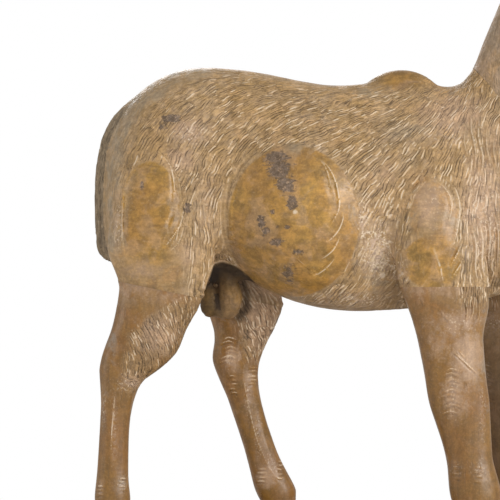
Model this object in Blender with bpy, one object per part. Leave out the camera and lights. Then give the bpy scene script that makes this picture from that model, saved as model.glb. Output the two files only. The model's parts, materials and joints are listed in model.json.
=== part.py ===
"""A carved wooden antelope standing on a low plinth, in metres, +Z up.

The animal faces +X and its left side is at +Y. The origin is the centre of the plinth's underside.
The figure is drawn on a grid of 486 units from the plinth's top to the withers, so its pose and
proportions follow FIGURE_HEIGHT. The carving is fused into one blank, and the blank is then sawn
at the joints that the real carving shows: the neck, both thighs and both upper forelegs.
"""

import math

import bmesh
import bpy
import numpy as np
from mathutils import Matrix, Vector

# Driving sizes
FIGURE_HEIGHT = 0.486
JOINT_GAP = 0.0003
PLINTH_THICKNESS = 0.032
PLINTH_END_MARGIN = 0.044
PLINTH_SIDE_MARGIN = 0.034
PLINTH_CORNER_RADIUS = 0.030
PLINTH_STEP_HEIGHT = 0.019
PLINTH_STEP_INSET = 0.009
PLINTH_EDGE_BEVEL = 0.002
HORN_LENGTH = 0.215
HORN_BASE_RADIUS = 0.0115
HORN_TIP_RADIUS = 0.0022
HORN_RINGS = 11
HORN_RING_HEIGHT = 0.0011

# The drawing grid: one unit is this many metres
GRID_UNITS_TO_WITHERS = 486
GRID = FIGURE_HEIGHT / GRID_UNITS_TO_WITHERS

# Mesh fineness, in grid units and faces
BLANK_VOXEL = 2.0
BLANK_FACES = 6600
SECTION_SIDES = 32
STEPS_PER_STATION = 4
PLINTH_CORNER_STEPS = 6
CREASE_STEPS = 10
CREASE_PASSES = 5

# Joints of the figure, on the grid. The thigh joints slant down to the front
NECK_JOINT = (153.0, 486.0)
NECK_JOINT_SLOPE = math.radians(-53)
THIGH_JOINT_SLOPE = math.radians(-11.5)
NEAR_THIGH_JOINT = (-200.0, 274.5)
FAR_THIGH_JOINT = (-118.0, 264.0)
THIGH_JOINT_INNER_SIDE = 16.5
FORELEG_JOINT = (77.0, 269.0)
FORELEG_JOINT_INNER_SIDE = 28.5

# How far the block that saws a leg off reaches past it, on the grid
LEG_BLOCK_REAR = 7.0
LEG_BLOCK_FRONT = 30.0

# Trunk stations from the buttocks to the breast:
# (x, back z, belly z, half width, fullness power, pear share)
TRUNK = [
    (-213, 395, 315, 19, 1.0, 0.0),
    (-208, 417, 293, 35, 1.0, 0.0),
    (-200, 437, 281, 45, 1.0, 0.0),
    (-185, 458, 276, 53, 0.95, 0.0),
    (-165, 474.5, 274, 57, 0.95, 0.0),
    (-140, 485, 278, 57, 0.95, 0.0),
    (-115, 488, 287, 53, 0.95, 0.0),
    (-95, 487, 290, 51, 0.95, 0.05),
    (-75, 485, 278, 54, 0.95, 0.08),
    (-50, 481, 262, 60, 0.95, 0.10),
    (-25, 475.5, 252, 65, 0.95, 0.10),
    (10, 470, 245, 65, 0.95, 0.08),
    (40, 471, 243, 60, 1.0, 0.02),
    (62, 474, 244, 57, 1.3, -0.16),
    (83, 475, 245, 57, 1.35, -0.20),
    (105, 472, 247, 59, 1.35, -0.20),
    (130, 468.5, 249, 59, 1.35, -0.20),
    (150, 476, 252, 56, 1.35, -0.18),
    (175, 478, 258, 51, 1.1, -0.08),
    (205, 450, 269, 44, 1.0, 0.0),
    (228, 410, 291, 33, 1.0, 0.0),
    (243, 375, 318, 17, 1.0, 0.0),
]

# Leg stations downwards: (z, rear x, front x, middle y, half thickness)
NEAR_HIND_LEG = [
    (378, -196, -122, -34, 18),
    (340, -207, -109, -39, 23),
    (305, -211, -104, -41, 24.5),
    (285, -206, -106, -42, 23),
    (266, -201, -114, -42, 22),
    (246, -202, -121, -42, 21),
    (226, -207, -133, -43, 19),
    (206, -215, -140, -43, 17.5),
    (190, -219, -155, -43, 16),
    (175, -218, -176, -43, 15),
    (157, -217, -184, -43, 13.5),
    (132, -218, -188.5, -43, 12),
    (98, -220, -189.5, -43, 12),
    (76, -222, -189.5, -43, 13),
    (61, -224, -187, -43, 15),
    (49, -222, -188, -43, 13.5),
    (38, -217, -183, -43, 14),
]
FAR_HIND_LEG = [
    (378, -192, -110, 34, 18),
    (340, -176, -82, 39, 23),
    (305, -150, -56, 41, 24),
    (280, -132, -40, 42, 23),
    (254, -118, -36, 42, 22),
    (234, -110, -41, 42, 21),
    (214, -106, -51, 43, 18.5),
    (194, -109, -59.5, 43, 16.5),
    (173, -101, -61.5, 43, 15),
    (153, -92.5, -58.5, 43, 13.5),
    (132, -85.5, -53, 43, 12),
    (112, -78.5, -46.5, 43, 12),
    (92, -73, -38.5, 43, 12.5),
    (72, -68, -27.5, 43, 14),
    (61, -65.5, -22.5, 43, 15),
    (49, -59, -23, 43, 13.5),
    (38, -52, -16, 43, 14),
]
NEAR_FORELEG = [
    (392, 84, 140, -38, 14),
    (350, 72, 154, -45, 19),
    (305, 71, 162, -49, 20),
    (269, 77, 166, -50, 19.5),
    (246, 86, 165, -50, 19),
    (223, 93, 160, -50, 18),
    (200, 98, 161, -50, 17.5),
    (177, 102, 163, -50, 18),
    (157, 105, 166, -50, 17),
    (138, 111, 167, -50, 15.5),
    (118, 118, 167.5, -50, 14.5),
    (98, 123, 169, -50, 14.5),
    (82, 124.5, 174, -50, 16),
    (66, 125.5, 178, -50, 18),
    (52, 130, 178, -50, 16.5),
    (40, 135, 181, -50, 17),
]
FAR_FORELEG_REACH = 40.0
FAR_FORELEG_REACH_LEVELS = (200.0, 350.0)

# Hooves: each foot ends in two claws
HOOF_HEIGHT = 32.0
HOOF_HEEL_BACK = 6.0
HOOF_TOE_REACH = 18.0
HOOF_SPREAD = 1.18
HOOF_CLEFT = 3.0
DEWCLAW_RADIUS = 5.0

# Tail, neck and head sections: (outer x, z, inner x, z, half width)
TAIL = [
    (-182, 462, -172, 446, 6),
    (-202, 445, -187, 433, 8.5),
    (-213, 430, -198, 421, 9),
    (-220, 412, -205, 407, 9.5),
    (-225, 385, -210, 383, 10),
    (-226, 355, -210, 355, 10),
    (-225, 325, -209, 325, 10),
    (-224, 307, -208, 308, 9.5),
    (-219, 297, -206, 301, 7.5),
    (-213, 292.5, -205, 297, 4),
]
NECK = [
    (118, 450, 214, 330, 43),
    (150, 482, 244, 372, 45),
    (162, 511, 266, 424, 42),
    (178, 548, 277, 488, 37),
    (193, 588, 279, 548, 33),
    (206, 626, 280, 592, 30),
    (224, 656, 276, 612, 26),
]
# Head, along the face from the crown: (distance, brow rise, depth, half width)
HEAD_CROWN = (236.0, 668.0)
HEAD_TILT = math.radians(-35)
HEAD = [
    (-14, -10, 46, 17),
    (0, 0, 62, 25),
    (22, 2, 74, 30),
    (45, 1, 72, 30),
    (70, 0, 61, 25),
    (95, 0, 49, 20.5),
    (118, -0.5, 41, 18),
    (136, -1, 38, 17.5),
    (148, -5, 30, 14),
    (154, -11, 17, 8),
]

# Places on the head, by distance along the face and depth below the brow
FACE_START = 15.0
EYE = (36.0, 19.0)
EYE_RADIUS = (10.0, 7.0)
EYE_RISE = 4.0
NOSTRIL = (143.0, 11.0)
NOSTRIL_RADIUS = (6.0, 3.5)
NOSTRIL_DEPTH = 3.0
MOUTH_START = (154.0, 24.0)
MOUTH_END = (112.0, 31.0)
MOUTH_WIDTH = 2.6
MOUTH_DEPTH = 2.2

# Ears: leaf shapes that point out, back and up. The root is set off from the crown: (x, y, z)
EAR_ROOT = (-4.0, 26.0, -20.0)
EAR_DIRECTION = (-0.42, 0.80, 0.42)
EAR_LENGTH = 66.0
EAR_HALF_WIDTH = 13.5
EAR_HALF_THICKNESS = 3.6
EAR_CUP = 7.0

# Horns: ringed, rising from the brow and sweeping back. The root is set off from the crown
HORN_ROOT = (15.0, 15.5, 0.0)
HORN_RISE_START = math.radians(84)
HORN_RISE_END = math.radians(158)
HORN_SPLAY_START = math.radians(20)
HORN_SPLAY_END = math.radians(-6)
HORN_SIDES = 10
HORN_STEPS_PER_RING = 3
PEDICLE_OVER_HORN = 1.22
PEDICLE_LENGTH = 26.0

# Raised ovals on each flank: (middle x, middle z, half length, half height, rise)
BELLY_DOME = (-27, 333, 67, 77, 10.0)
THIGH_OVAL = (-168, 343, 30, 50, 4.0)
SHOULDER_OVAL = (110, 333, 24, 42, 4.5)

# Round masses: (middle x, y, z, half sizes x, y, z)
WITHERS_HUMP = (81, 0, 457, 40, 19, 28.5)
SCROTUM_LOBES = [
    (-89, -3, 264, 13, 9.5, 29),
    (-111, 4, 254, 10, 9, 18),
    (-98, 0, 242, 6.5, 6, 7),
    (-101, 0, 284, 16, 8, 12),
]

WOOD_COLOUR = (0.36, 0.22, 0.09, 1.0)
PLINTH_COLOUR = (0.24, 0.14, 0.06, 1.0)
HORN_COLOUR = (0.16, 0.11, 0.07, 1.0)


def clear_scene():
    for obj in list(bpy.data.objects):
        bpy.data.objects.remove(obj, do_unlink=True)


def wood(name, colour, roughness):
    material = bpy.data.materials.new(name)
    material.use_nodes = True
    shader = material.node_tree.nodes["Principled BSDF"]
    shader.inputs["Base Color"].default_value = colour
    shader.inputs["Roughness"].default_value = roughness
    shader.inputs["Metallic"].default_value = 0.0
    return material


def new_object(name, mesh, material=None):
    obj = bpy.data.objects.new(name, mesh)
    bpy.context.scene.collection.objects.link(obj)
    if material is not None:
        mesh.materials.clear()
        mesh.materials.append(material)
    return obj


def figure_point(x, y, z):
    """A place on the drawing grid, in metres above the plinth."""
    return Vector((x * GRID, y * GRID, PLINTH_THICKNESS + z * GRID))


def through_stations(stations):
    """Rows between the stations, on a smooth curve through all of them."""
    rows = np.array(stations, float)
    first = 2 * rows[0] - rows[1]
    last = 2 * rows[-1] - rows[-2]
    rows = np.vstack([first, rows, last])
    found = []
    for i in range(1, len(rows) - 2):
        before, start, end, after = rows[i - 1 : i + 3]
        for t in np.linspace(0, 1, STEPS_PER_STATION, endpoint=False):
            slope = (end - before) * t
            bend = (2 * before - 5 * start + 4 * end - after) * t * t
            twist = (3 * start - before - 3 * end + after) * t**3
            found.append(0.5 * (2 * start + slope + bend + twist))
    found.append(rows[-2])
    return found


def section(outer, inner, middle_y, half_width, fullness=1.0, pear=0.0):
    """A ring across the figure between two (x, z) outline points, half_width wide to each side."""
    ring = []
    for i in range(SECTION_SIDES):
        angle = 2 * math.pi * i / SECTION_SIDES
        along = -math.cos(angle)
        across = math.copysign(abs(math.sin(angle)) ** fullness, math.sin(angle))
        across *= 1 + pear * along
        x = (outer[0] + inner[0]) / 2 + (inner[0] - outer[0]) / 2 * along
        z = (outer[1] + inner[1]) / 2 + (inner[1] - outer[1]) / 2 * along
        ring.append(figure_point(x, middle_y + half_width * across, z))
    return ring


def loft(form, rings):
    """Adds a closed skin over the rings to the bmesh."""
    levels = [[form.verts.new(point) for point in ring] for ring in rings]
    faces = []
    for lower, upper in zip(levels, levels[1:]):
        for i in range(len(lower)):
            j = (i + 1) % len(lower)
            faces.append(form.faces.new((lower[i], lower[j], upper[j], upper[i])))
    for end in (levels[0], levels[-1]):
        middle = form.verts.new(sum((v.co for v in end), Vector()) / len(end))
        for i in range(len(end)):
            faces.append(form.faces.new((end[i], end[(i + 1) % len(end)], middle)))
    bmesh.ops.recalc_face_normals(form, faces=faces)


def ball(form, middle, half_sizes):
    centre = figure_point(*middle)
    sizes = Matrix.Diagonal((*(size * GRID for size in half_sizes), 1.0))
    bmesh.ops.create_uvsphere(
        form,
        u_segments=SECTION_SIDES,
        v_segments=SECTION_SIDES // 2,
        radius=1.0,
        matrix=Matrix.Translation(centre) @ sizes,
    )


def add_trunk(form):
    rings = []
    for x, back, belly, half, fullness, pear in through_stations(TRUNK):
        rings.append(section((x, back), (x, belly), 0, half, fullness, pear))
    loft(form, rings)
    x, y, z, *half_sizes = WITHERS_HUMP
    ball(form, (x, y, z), half_sizes)
    for x, y, z, *half_sizes in SCROTUM_LOBES:
        ball(form, (x, y, z), half_sizes)


def far_foreleg():
    """The near foreleg mirrored, with its lower part set forward in mid-step."""
    low, high = FAR_FORELEG_REACH_LEVELS
    stations = []
    for z, rear, front, y, half in NEAR_FORELEG:
        share = min(1.0, max(0.0, (high - z) / (high - low)))
        forward = FAR_FORELEG_REACH * share * share * (3 - 2 * share)
        stations.append((z, rear + forward, front + forward, -y, half))
    return stations


def add_leg(form, stations):
    rings = []
    for z, rear, front, y, half in through_stations(stations):
        rings.append(section((rear, z), (front, z), y, half))
    loft(form, rings)
    add_hoof(form, stations[-1])


def add_hoof(form, ankle):
    """Two claws that spread and lengthen down to the ground, and two dewclaws behind them."""
    z, rear, front, middle_y, half = ankle
    claw_half = (half * HOOF_SPREAD - HOOF_CLEFT / 2) / 2
    for side in (-1, 1):
        rings = []
        for share in (-0.25, 0.0, 0.25, 0.6, 1.0, 1.15):
            level = HOOF_HEIGHT * (1 - share)
            spread = 0.72 + 0.28 * min(1.0, max(0.0, share * 1.6))
            heel = rear - HOOF_HEEL_BACK * max(0.0, share)
            toe = front + HOOF_TOE_REACH * max(0.0, share)
            offset = (HOOF_CLEFT / 2 + claw_half) * spread
            rings.append(
                section((heel, level), (toe, level), middle_y + side * offset, claw_half * spread)
            )
        loft(form, rings)
        ball(
            form,
            (rear - 1.0, middle_y + side * half * 0.5, HOOF_HEIGHT * 1.5),
            (DEWCLAW_RADIUS, DEWCLAW_RADIUS, DEWCLAW_RADIUS * 1.5),
        )


def add_band(form, stations):
    """A form down the middle line, from sections set across it."""
    rings = []
    for outer_x, outer_z, inner_x, inner_z, half in through_stations(stations):
        rings.append(section((outer_x, outer_z), (inner_x, inner_z), 0, half))
    loft(form, rings)


def on_face(distance, below):
    """The (x, z) of a place on the head, by distance along the face and depth below the brow."""
    along_x, along_z = math.cos(HEAD_TILT), math.sin(HEAD_TILT)
    x = HEAD_CROWN[0] + distance * along_x + below * along_z
    z = HEAD_CROWN[1] + distance * along_z - below * along_x
    return x, z


def from_crown(place, side):
    """A place on the grid that keeps its distance from the crown of the head."""
    return Vector((HEAD_CROWN[0] + place[0], side * place[1], HEAD_CROWN[1] + place[2]))


def add_head(form):
    rings = []
    for distance, rise, depth, half in through_stations(HEAD):
        brow = on_face(distance, -rise)
        jaw = on_face(distance, depth - rise)
        rings.append(section(brow, jaw, 0, half, fullness=0.9, pear=-0.12))
    loft(form, rings)
    for side in (-1, 1):
        add_ear(form, side)
        add_pedicle(form, side)


def add_ear(form, side):
    """A cupped leaf whose hollow faces forwards."""
    root = from_crown(EAR_ROOT, side)
    direction = Vector((EAR_DIRECTION[0], side * EAR_DIRECTION[1], EAR_DIRECTION[2])).normalized()
    forwards = Vector((1.0, 0.0, 0.35)).normalized()
    width = direction.cross(forwards).normalized()
    depth = width.cross(direction).normalized()
    rings = []
    for share in np.linspace(-0.12, 1.0, 12):
        leaf = math.sin(math.pi * min(1.0, 0.12 + 0.88 * (share + 0.12) / 1.12) ** 0.8)
        half = EAR_HALF_WIDTH * max(0.12, leaf)
        thick = EAR_HALF_THICKNESS * (1 - 0.45 * max(0.0, share))
        middle = root + direction * EAR_LENGTH * share
        ring = []
        for i in range(SECTION_SIDES):
            angle = 2 * math.pi * i / SECTION_SIDES
            cup = EAR_CUP * (math.cos(angle) ** 2 - 0.5) * half / EAR_HALF_WIDTH
            point = middle + width * half * math.cos(angle)
            point += depth * (thick * math.sin(angle) + cup)
            ring.append(figure_point(*point))
        rings.append(ring)
    loft(form, rings)


def horn_heading(share, side):
    rise = HORN_RISE_START + (HORN_RISE_END - HORN_RISE_START) * share
    splay = HORN_SPLAY_START + (HORN_SPLAY_END - HORN_SPLAY_START) * share
    return Vector(
        (
            math.cos(rise) * math.cos(splay),
            side * math.sin(splay),
            math.sin(rise) * math.cos(splay),
        )
    )


def horn_root(side):
    return figure_point(*from_crown(HORN_ROOT, side))


def around(middle, heading, radius, sides):
    """A ring of the given radius, square to the heading."""
    across = heading.cross(Vector((0.0, 1.0, 0.0))).normalized()
    other = heading.cross(across).normalized()
    ring = []
    for i in range(sides):
        angle = 2 * math.pi * i / sides
        ring.append(middle + radius * (math.cos(angle) * across + math.sin(angle) * other))
    return ring


def add_pedicle(form, side):
    """The stump of bone that a horn sits on. It stands a little proud and is cut flat later."""
    heading = horn_heading(0.0, side)
    top = horn_root(side) + heading * 3 * GRID
    rings = []
    for share in (1.0, 0.5, 0.0):
        middle = top - heading * PEDICLE_LENGTH * GRID * share
        rings.append(around(middle, heading, HORN_BASE_RADIUS * PEDICLE_OVER_HORN, SECTION_SIDES))
    loft(form, rings)


def horn(side, name, material):
    """A tapering curve of stacked rings, smooth towards the tip."""
    form = bmesh.new()
    steps = HORN_STEPS_PER_RING * HORN_RINGS
    middle = horn_root(side) + horn_heading(0.0, side) * JOINT_GAP / 2
    rings = []
    for i in range(steps + 1):
        share = i / steps
        heading = horn_heading(share, side)
        taper = HORN_BASE_RADIUS + (HORN_TIP_RADIUS - HORN_BASE_RADIUS) * share**1.15
        wave = 0.5 - 0.5 * math.cos(2 * math.pi * share * HORN_RINGS)
        fade = min(1.0, max(0.0, (0.8 - share) / 0.2))
        rings.append(around(middle, heading, taper + HORN_RING_HEIGHT * wave * fade, HORN_SIDES))
        middle = middle + heading * HORN_LENGTH / steps
    loft(form, rings)
    mesh = bpy.data.meshes.new(name)
    bmesh.ops.recalc_face_normals(form, faces=form.faces)
    form.to_mesh(mesh)
    form.free()
    return new_object(name, mesh, material)


def evaluated_copy(obj):
    graph = bpy.context.evaluated_depsgraph_get()
    return bpy.data.meshes.new_from_object(obj.evaluated_get(graph), depsgraph=graph)


def mesh_arrays(mesh):
    points = np.empty(len(mesh.vertices) * 3)
    mesh.vertices.foreach_get("co", points)
    normals = np.empty(len(mesh.vertices) * 3)
    mesh.vertex_normals.foreach_get("vector", normals)
    return points.reshape(-1, 3), normals.reshape(-1, 3)


def set_points(mesh, points):
    mesh.vertices.foreach_set("co", points.ravel())
    mesh.update()


def neighbours(mesh):
    """Both ends of every edge, each way round, and how many neighbours each vertex has."""
    edges = np.empty(len(mesh.edges) * 2, int)
    mesh.edges.foreach_get("vertices", edges)
    edges = edges.reshape(-1, 2)
    ends = np.concatenate([edges[:, 0], edges[:, 1]])
    others = np.concatenate([edges[:, 1], edges[:, 0]])
    return ends, others, np.bincount(ends, minlength=len(mesh.vertices))[:, None]


def towards_neighbours(points, links):
    """How far each point lies from the mean of its neighbours."""
    ends, others, count = links
    sums = [np.bincount(ends, points[others, axis], len(points)) for axis in range(3)]
    return np.stack(sums, axis=1) / count - points


def fill_creases(mesh, steps, passes):
    """Fills the inner corners where two forms meet, as a carver leaves them, and keeps the rest."""
    links = neighbours(mesh)
    hooves = figure_point(0, 0, 1.6 * HOOF_HEIGHT).z
    for _ in range(steps):
        points, normals = mesh_arrays(mesh)
        for _ in range(passes):
            move = towards_neighbours(points, links)
            outwards = (move * normals).sum(axis=1, keepdims=True)
            in_hollow = (outwards > 0) & (points[:, 2:] > hooves)
            along_surface = move - outwards * normals
            kept = np.where(in_hollow, 0.7, 0.03) * outwards
            points = points + 0.5 * along_surface + kept * normals
        set_points(mesh, points)


def even_out(mesh, passes):
    """Takes off the voxel steps without shrinking the form."""
    links = neighbours(mesh)
    points, _ = mesh_arrays(mesh)
    for _ in range(passes):
        for share in (0.5, -0.52):
            points = points + share * towards_neighbours(points, links)
    set_points(mesh, points)


def grid_places(points):
    places = points / GRID
    places[:, 2] -= PLINTH_THICKNESS / GRID
    return places


def raise_oval(mesh, oval):
    """Raises a shallow dome with a soft rim on each flank."""
    middle_x, middle_z, half_x, half_z, rise = oval
    points, normals = mesh_arrays(mesh)
    places = grid_places(points)
    reach = ((places[:, 0] - middle_x) / half_x) ** 2 + ((places[:, 2] - middle_z) / half_z) ** 2
    dome = np.clip(1 - reach, 0, 1) ** 0.8 * rise * GRID
    facing = np.clip((np.abs(normals[:, 1]) - 0.25) / 0.4, 0, 1)
    points[:, 1] += np.sign(places[:, 1]) * dome * facing
    set_points(mesh, points)


def face_places(points):
    """Distance along the face and depth below the brow, for each point."""
    places = grid_places(points)
    x = places[:, 0] - HEAD_CROWN[0]
    z = places[:, 2] - HEAD_CROWN[1]
    distance = x * math.cos(HEAD_TILT) + z * math.sin(HEAD_TILT)
    below = x * math.sin(HEAD_TILT) - z * math.cos(HEAD_TILT)
    return distance, below


def carve_face(mesh):
    """Raises the eyes, sinks the nostrils and cuts the line of the mouth."""
    points, normals = mesh_arrays(mesh)
    distance, below = face_places(points)
    eye = ((distance - EYE[0]) / EYE_RADIUS[0]) ** 2 + ((below - EYE[1]) / EYE_RADIUS[1]) ** 2
    height = EYE_RISE * np.sqrt(np.clip(1 - eye, 0, 1))
    pit = ((distance - NOSTRIL[0]) / NOSTRIL_RADIUS[0]) ** 2
    pit += ((below - NOSTRIL[1]) / NOSTRIL_RADIUS[1]) ** 2
    height -= NOSTRIL_DEPTH * np.clip(1 - pit, 0, 1)
    start, end = np.array(MOUTH_START), np.array(MOUTH_END)
    line = end - start
    share = ((distance - start[0]) * line[0] + (below - start[1]) * line[1]) / (line @ line)
    nearest_x = start[0] + np.clip(share, 0, 1) * line[0]
    nearest_z = start[1] + np.clip(share, 0, 1) * line[1]
    away = np.hypot(distance - nearest_x, below - nearest_z)
    height -= MOUTH_DEPTH * np.clip(1 - away / MOUTH_WIDTH, 0, 1)
    height *= distance > FACE_START
    set_points(mesh, points + height[:, None] * GRID * normals)


def blank():
    """The whole animal as one closed mesh, with its forms run together."""
    form = bmesh.new()
    add_trunk(form)
    for stations, *_ in legs().values():
        add_leg(form, stations)
    add_band(form, TAIL)
    add_band(form, NECK)
    add_head(form)
    mesh = bpy.data.meshes.new("blank")
    form.to_mesh(mesh)
    form.free()
    rough = new_object("rough_blank", mesh)
    remesh = rough.modifiers.new("fuse", "REMESH")
    remesh.mode = "VOXEL"
    remesh.voxel_size = BLANK_VOXEL * GRID
    fused = evaluated_copy(rough)
    bpy.data.objects.remove(rough, do_unlink=True)
    fill_creases(fused, CREASE_STEPS, CREASE_PASSES)
    even_out(fused, 6)
    for oval in (BELLY_DOME, THIGH_OVAL, SHOULDER_OVAL):
        raise_oval(fused, oval)
    even_out(fused, 3)
    carve_face(fused)
    fine = new_object("fine_blank", fused)
    thin = fine.modifiers.new("thin", "DECIMATE")
    thin.ratio = BLANK_FACES / (2 * len(fused.polygons))
    carved = evaluated_copy(fine)
    bpy.data.objects.remove(fine, do_unlink=True)
    return carved


def hide_cutter(obj):
    obj.hide_render = True
    obj.display_type = "WIRE"
    return obj


def block(name, corners):
    """A cutter with eight corners: four low ones, and the four above them in the same order."""
    form = bmesh.new()
    verts = [form.verts.new(corner) for corner in corners]
    for indices in (
        (0, 1, 2, 3),
        (4, 5, 6, 7),
        (0, 1, 5, 4),
        (1, 2, 6, 5),
        (2, 3, 7, 6),
        (3, 0, 4, 7),
    ):
        form.faces.new([verts[i] for i in indices])
    bmesh.ops.recalc_face_normals(form, faces=form.faces)
    mesh = bpy.data.meshes.new(name)
    form.to_mesh(mesh)
    form.free()
    return hide_cutter(new_object(name, mesh))


def leg_reach(stations, joint):
    """Where a leg's block starts and ends along the figure."""
    below = [station for station in stations if station[0] <= joint[1]]
    rear = min(station[1] for station in below)
    front = max(station[2] for station in below)
    toe = stations[-1][2] + HOOF_TOE_REACH
    return rear - LEG_BLOCK_REAR, max(front, toe) + LEG_BLOCK_FRONT


def blank_reach(mesh):
    """The blank's width and its longest diagonal, on the grid, which no piece reaches past."""
    points, _ = mesh_arrays(mesh)
    size = (points.max(axis=0) - points.min(axis=0)) / GRID
    return float(size[1]), float(np.linalg.norm(size))


def leg_block(name, leg, grow, sole, width):
    """Encloses one leg below its joint. The joint's faces move out by grow, in metres."""
    stations, joint, slope, inner = leg
    side = math.copysign(1, stations[0][3])
    rear, front = leg_reach(stations, joint)
    ends = ((rear, inner), (front, inner), (front, width), (rear, width))
    corners = []
    for is_top in (False, True):
        for x, y in ends:
            z = joint[1] + (x - joint[0]) * math.tan(slope) if is_top else 0.0
            place = figure_point(x, side * y, z)
            place.z = place.z + grow if is_top else PLINTH_THICKNESS + sole
            if y == inner:
                place.y -= side * grow
            corners.append(place)
    return block(name, corners)


def neck_block(name, grow, width, diagonal):
    """Encloses all that is above the neck's joint."""
    along = Vector((math.cos(NECK_JOINT_SLOPE), 0.0, math.sin(NECK_JOINT_SLOPE)))
    up = Vector((-along.z, 0.0, along.x))
    middle = figure_point(NECK_JOINT[0], 0, NECK_JOINT[1]) - up * grow
    sides = Vector((0.0, width * GRID, 0.0))
    far = along * diagonal * GRID
    corners = []
    for height in (0.0, diagonal * GRID):
        for place in (-far - sides, far - sides, far + sides, sides - far):
            corners.append(middle + up * height + place)
    return block(name, corners)


def horn_seat(side):
    """Cuts a pedicle flat where the horn sits."""
    heading = horn_heading(0.0, side)
    start = horn_root(side) - heading * JOINT_GAP / 2
    form = bmesh.new()
    wide = HORN_BASE_RADIUS * PEDICLE_OVER_HORN * 1.3
    ends = (start, start + heading * PEDICLE_LENGTH * GRID)
    loft(form, [around(end, heading, wide, SECTION_SIDES) for end in ends])
    mesh = bpy.data.meshes.new("horn_seat")
    form.to_mesh(mesh)
    form.free()
    return hide_cutter(new_object("horn_seat", mesh))


def sawn(name, mesh, material, keep, remove):
    """A piece of the blank: what lies in the keep block, less what lies in the others."""
    obj = new_object(name, mesh.copy(), material)
    cuts = [(cutter, "DIFFERENCE") for cutter in remove]
    if keep is not None:
        cuts.insert(0, (keep, "INTERSECT"))
    for cutter, operation in cuts:
        cut = obj.modifiers.new(cutter.name, "BOOLEAN")
        cut.operation = operation
        cut.solver = "EXACT"
        cut.object = cutter
    return obj


def legs():
    """Each leg's stations, its place on the joint, the joint's slope and the joint's inner side."""
    thigh = (THIGH_JOINT_SLOPE, THIGH_JOINT_INNER_SIDE)
    elbow = (0.0, FORELEG_JOINT_INNER_SIDE)
    return {
        "near_hind_leg": (NEAR_HIND_LEG, NEAR_THIGH_JOINT, *thigh),
        "far_hind_leg": (FAR_HIND_LEG, FAR_THIGH_JOINT, *thigh),
        "near_foreleg": (NEAR_FORELEG, FORELEG_JOINT, *elbow),
        "far_foreleg": (far_foreleg(), FORELEG_JOINT, *elbow),
    }


def plinth(feet, material):
    """A rounded slab with a stepped upper edge, a margin wider than the hooves that stand on it."""
    half_length = max(abs(x) for x, _ in feet) + PLINTH_END_MARGIN
    half_width = max(abs(y) for _, y in feet) + PLINTH_SIDE_MARGIN
    bevel = PLINTH_EDGE_BEVEL
    inset = PLINTH_STEP_INSET
    profile = [
        (bevel, 0.0),
        (0.0, bevel),
        (0.0, PLINTH_STEP_HEIGHT - bevel),
        (bevel, PLINTH_STEP_HEIGHT),
        (inset - bevel, PLINTH_STEP_HEIGHT),
        (inset, PLINTH_STEP_HEIGHT + bevel),
        (inset, PLINTH_THICKNESS - bevel),
        (inset + bevel, PLINTH_THICKNESS),
    ]
    form = bmesh.new()
    rings = []
    for inward, z in profile:
        ring = []
        for corner in range(4):
            radius = PLINTH_CORNER_RADIUS - inward
            sign_x = 1 if corner in (0, 3) else -1
            sign_y = 1 if corner in (0, 1) else -1
            middle_x = sign_x * (half_length - PLINTH_CORNER_RADIUS)
            middle_y = sign_y * (half_width - PLINTH_CORNER_RADIUS)
            for step in range(PLINTH_CORNER_STEPS + 1):
                angle = math.pi / 2 * (corner + step / PLINTH_CORNER_STEPS)
                x = middle_x + radius * math.cos(angle)
                y = middle_y + radius * math.sin(angle)
                ring.append(Vector((x, y, z)))
        rings.append(ring)
    loft(form, rings)
    mesh = bpy.data.meshes.new("plinth")
    form.to_mesh(mesh)
    form.free()
    return new_object("plinth", mesh, material)


def hoof_prints(mesh):
    """The corners of the ground that the hooves cover."""
    points, _ = mesh_arrays(mesh)
    low = points[points[:, 2] < PLINTH_THICKNESS + 0.5 * HOOF_HEIGHT * GRID]
    return [(low[:, 0].min(), low[:, 1].min()), (low[:, 0].max(), low[:, 1].max())]


def build():
    clear_scene()
    figure_wood = wood("figure_wood", WOOD_COLOUR, 0.5)
    plinth_wood = wood("plinth_wood", PLINTH_COLOUR, 0.6)
    horn_wood = wood("horn_wood", HORN_COLOUR, 0.45)
    carved = blank()
    width, diagonal = blank_reach(carved)
    half_gap = JOINT_GAP / 2
    leg_cuts = []
    for name, leg in legs().items():
        keep = leg_block(name + "_block", leg, -half_gap, JOINT_GAP, width)
        sawn(name, carved, figure_wood, keep, [])
        leg_cuts.append(leg_block(name + "_cut", leg, half_gap, -HOOF_HEIGHT * GRID, width))
    neck_cut = neck_block("neck_cut", half_gap, width, diagonal)
    sawn("body", carved, figure_wood, None, leg_cuts + [neck_cut])
    neck_keep = neck_block("neck_block", -half_gap, width, diagonal)
    seats = [horn_seat(-1), horn_seat(1)]
    sawn("neck_and_head", carved, figure_wood, neck_keep, seats)
    horn(-1, "near_horn", horn_wood)
    horn(1, "far_horn", horn_wood)
    plinth(hoof_prints(carved), plinth_wood)


build()
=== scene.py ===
# %% [markdown]
# # A carved wooden antelope on a low plinth
#
# The real object is one tall animal of carved wood, joined from a few blocks at the neck, the
# thighs and the upper forelegs, and rubbed with an ochre finish that has worn over the years. The
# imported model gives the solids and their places. This lesson carves the fine relief into copies
# of them and paints the worn finish with procedural materials.

import json
import math

import bpy
import numpy as np
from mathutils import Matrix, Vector
from mathutils.kdtree import KDTree

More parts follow.
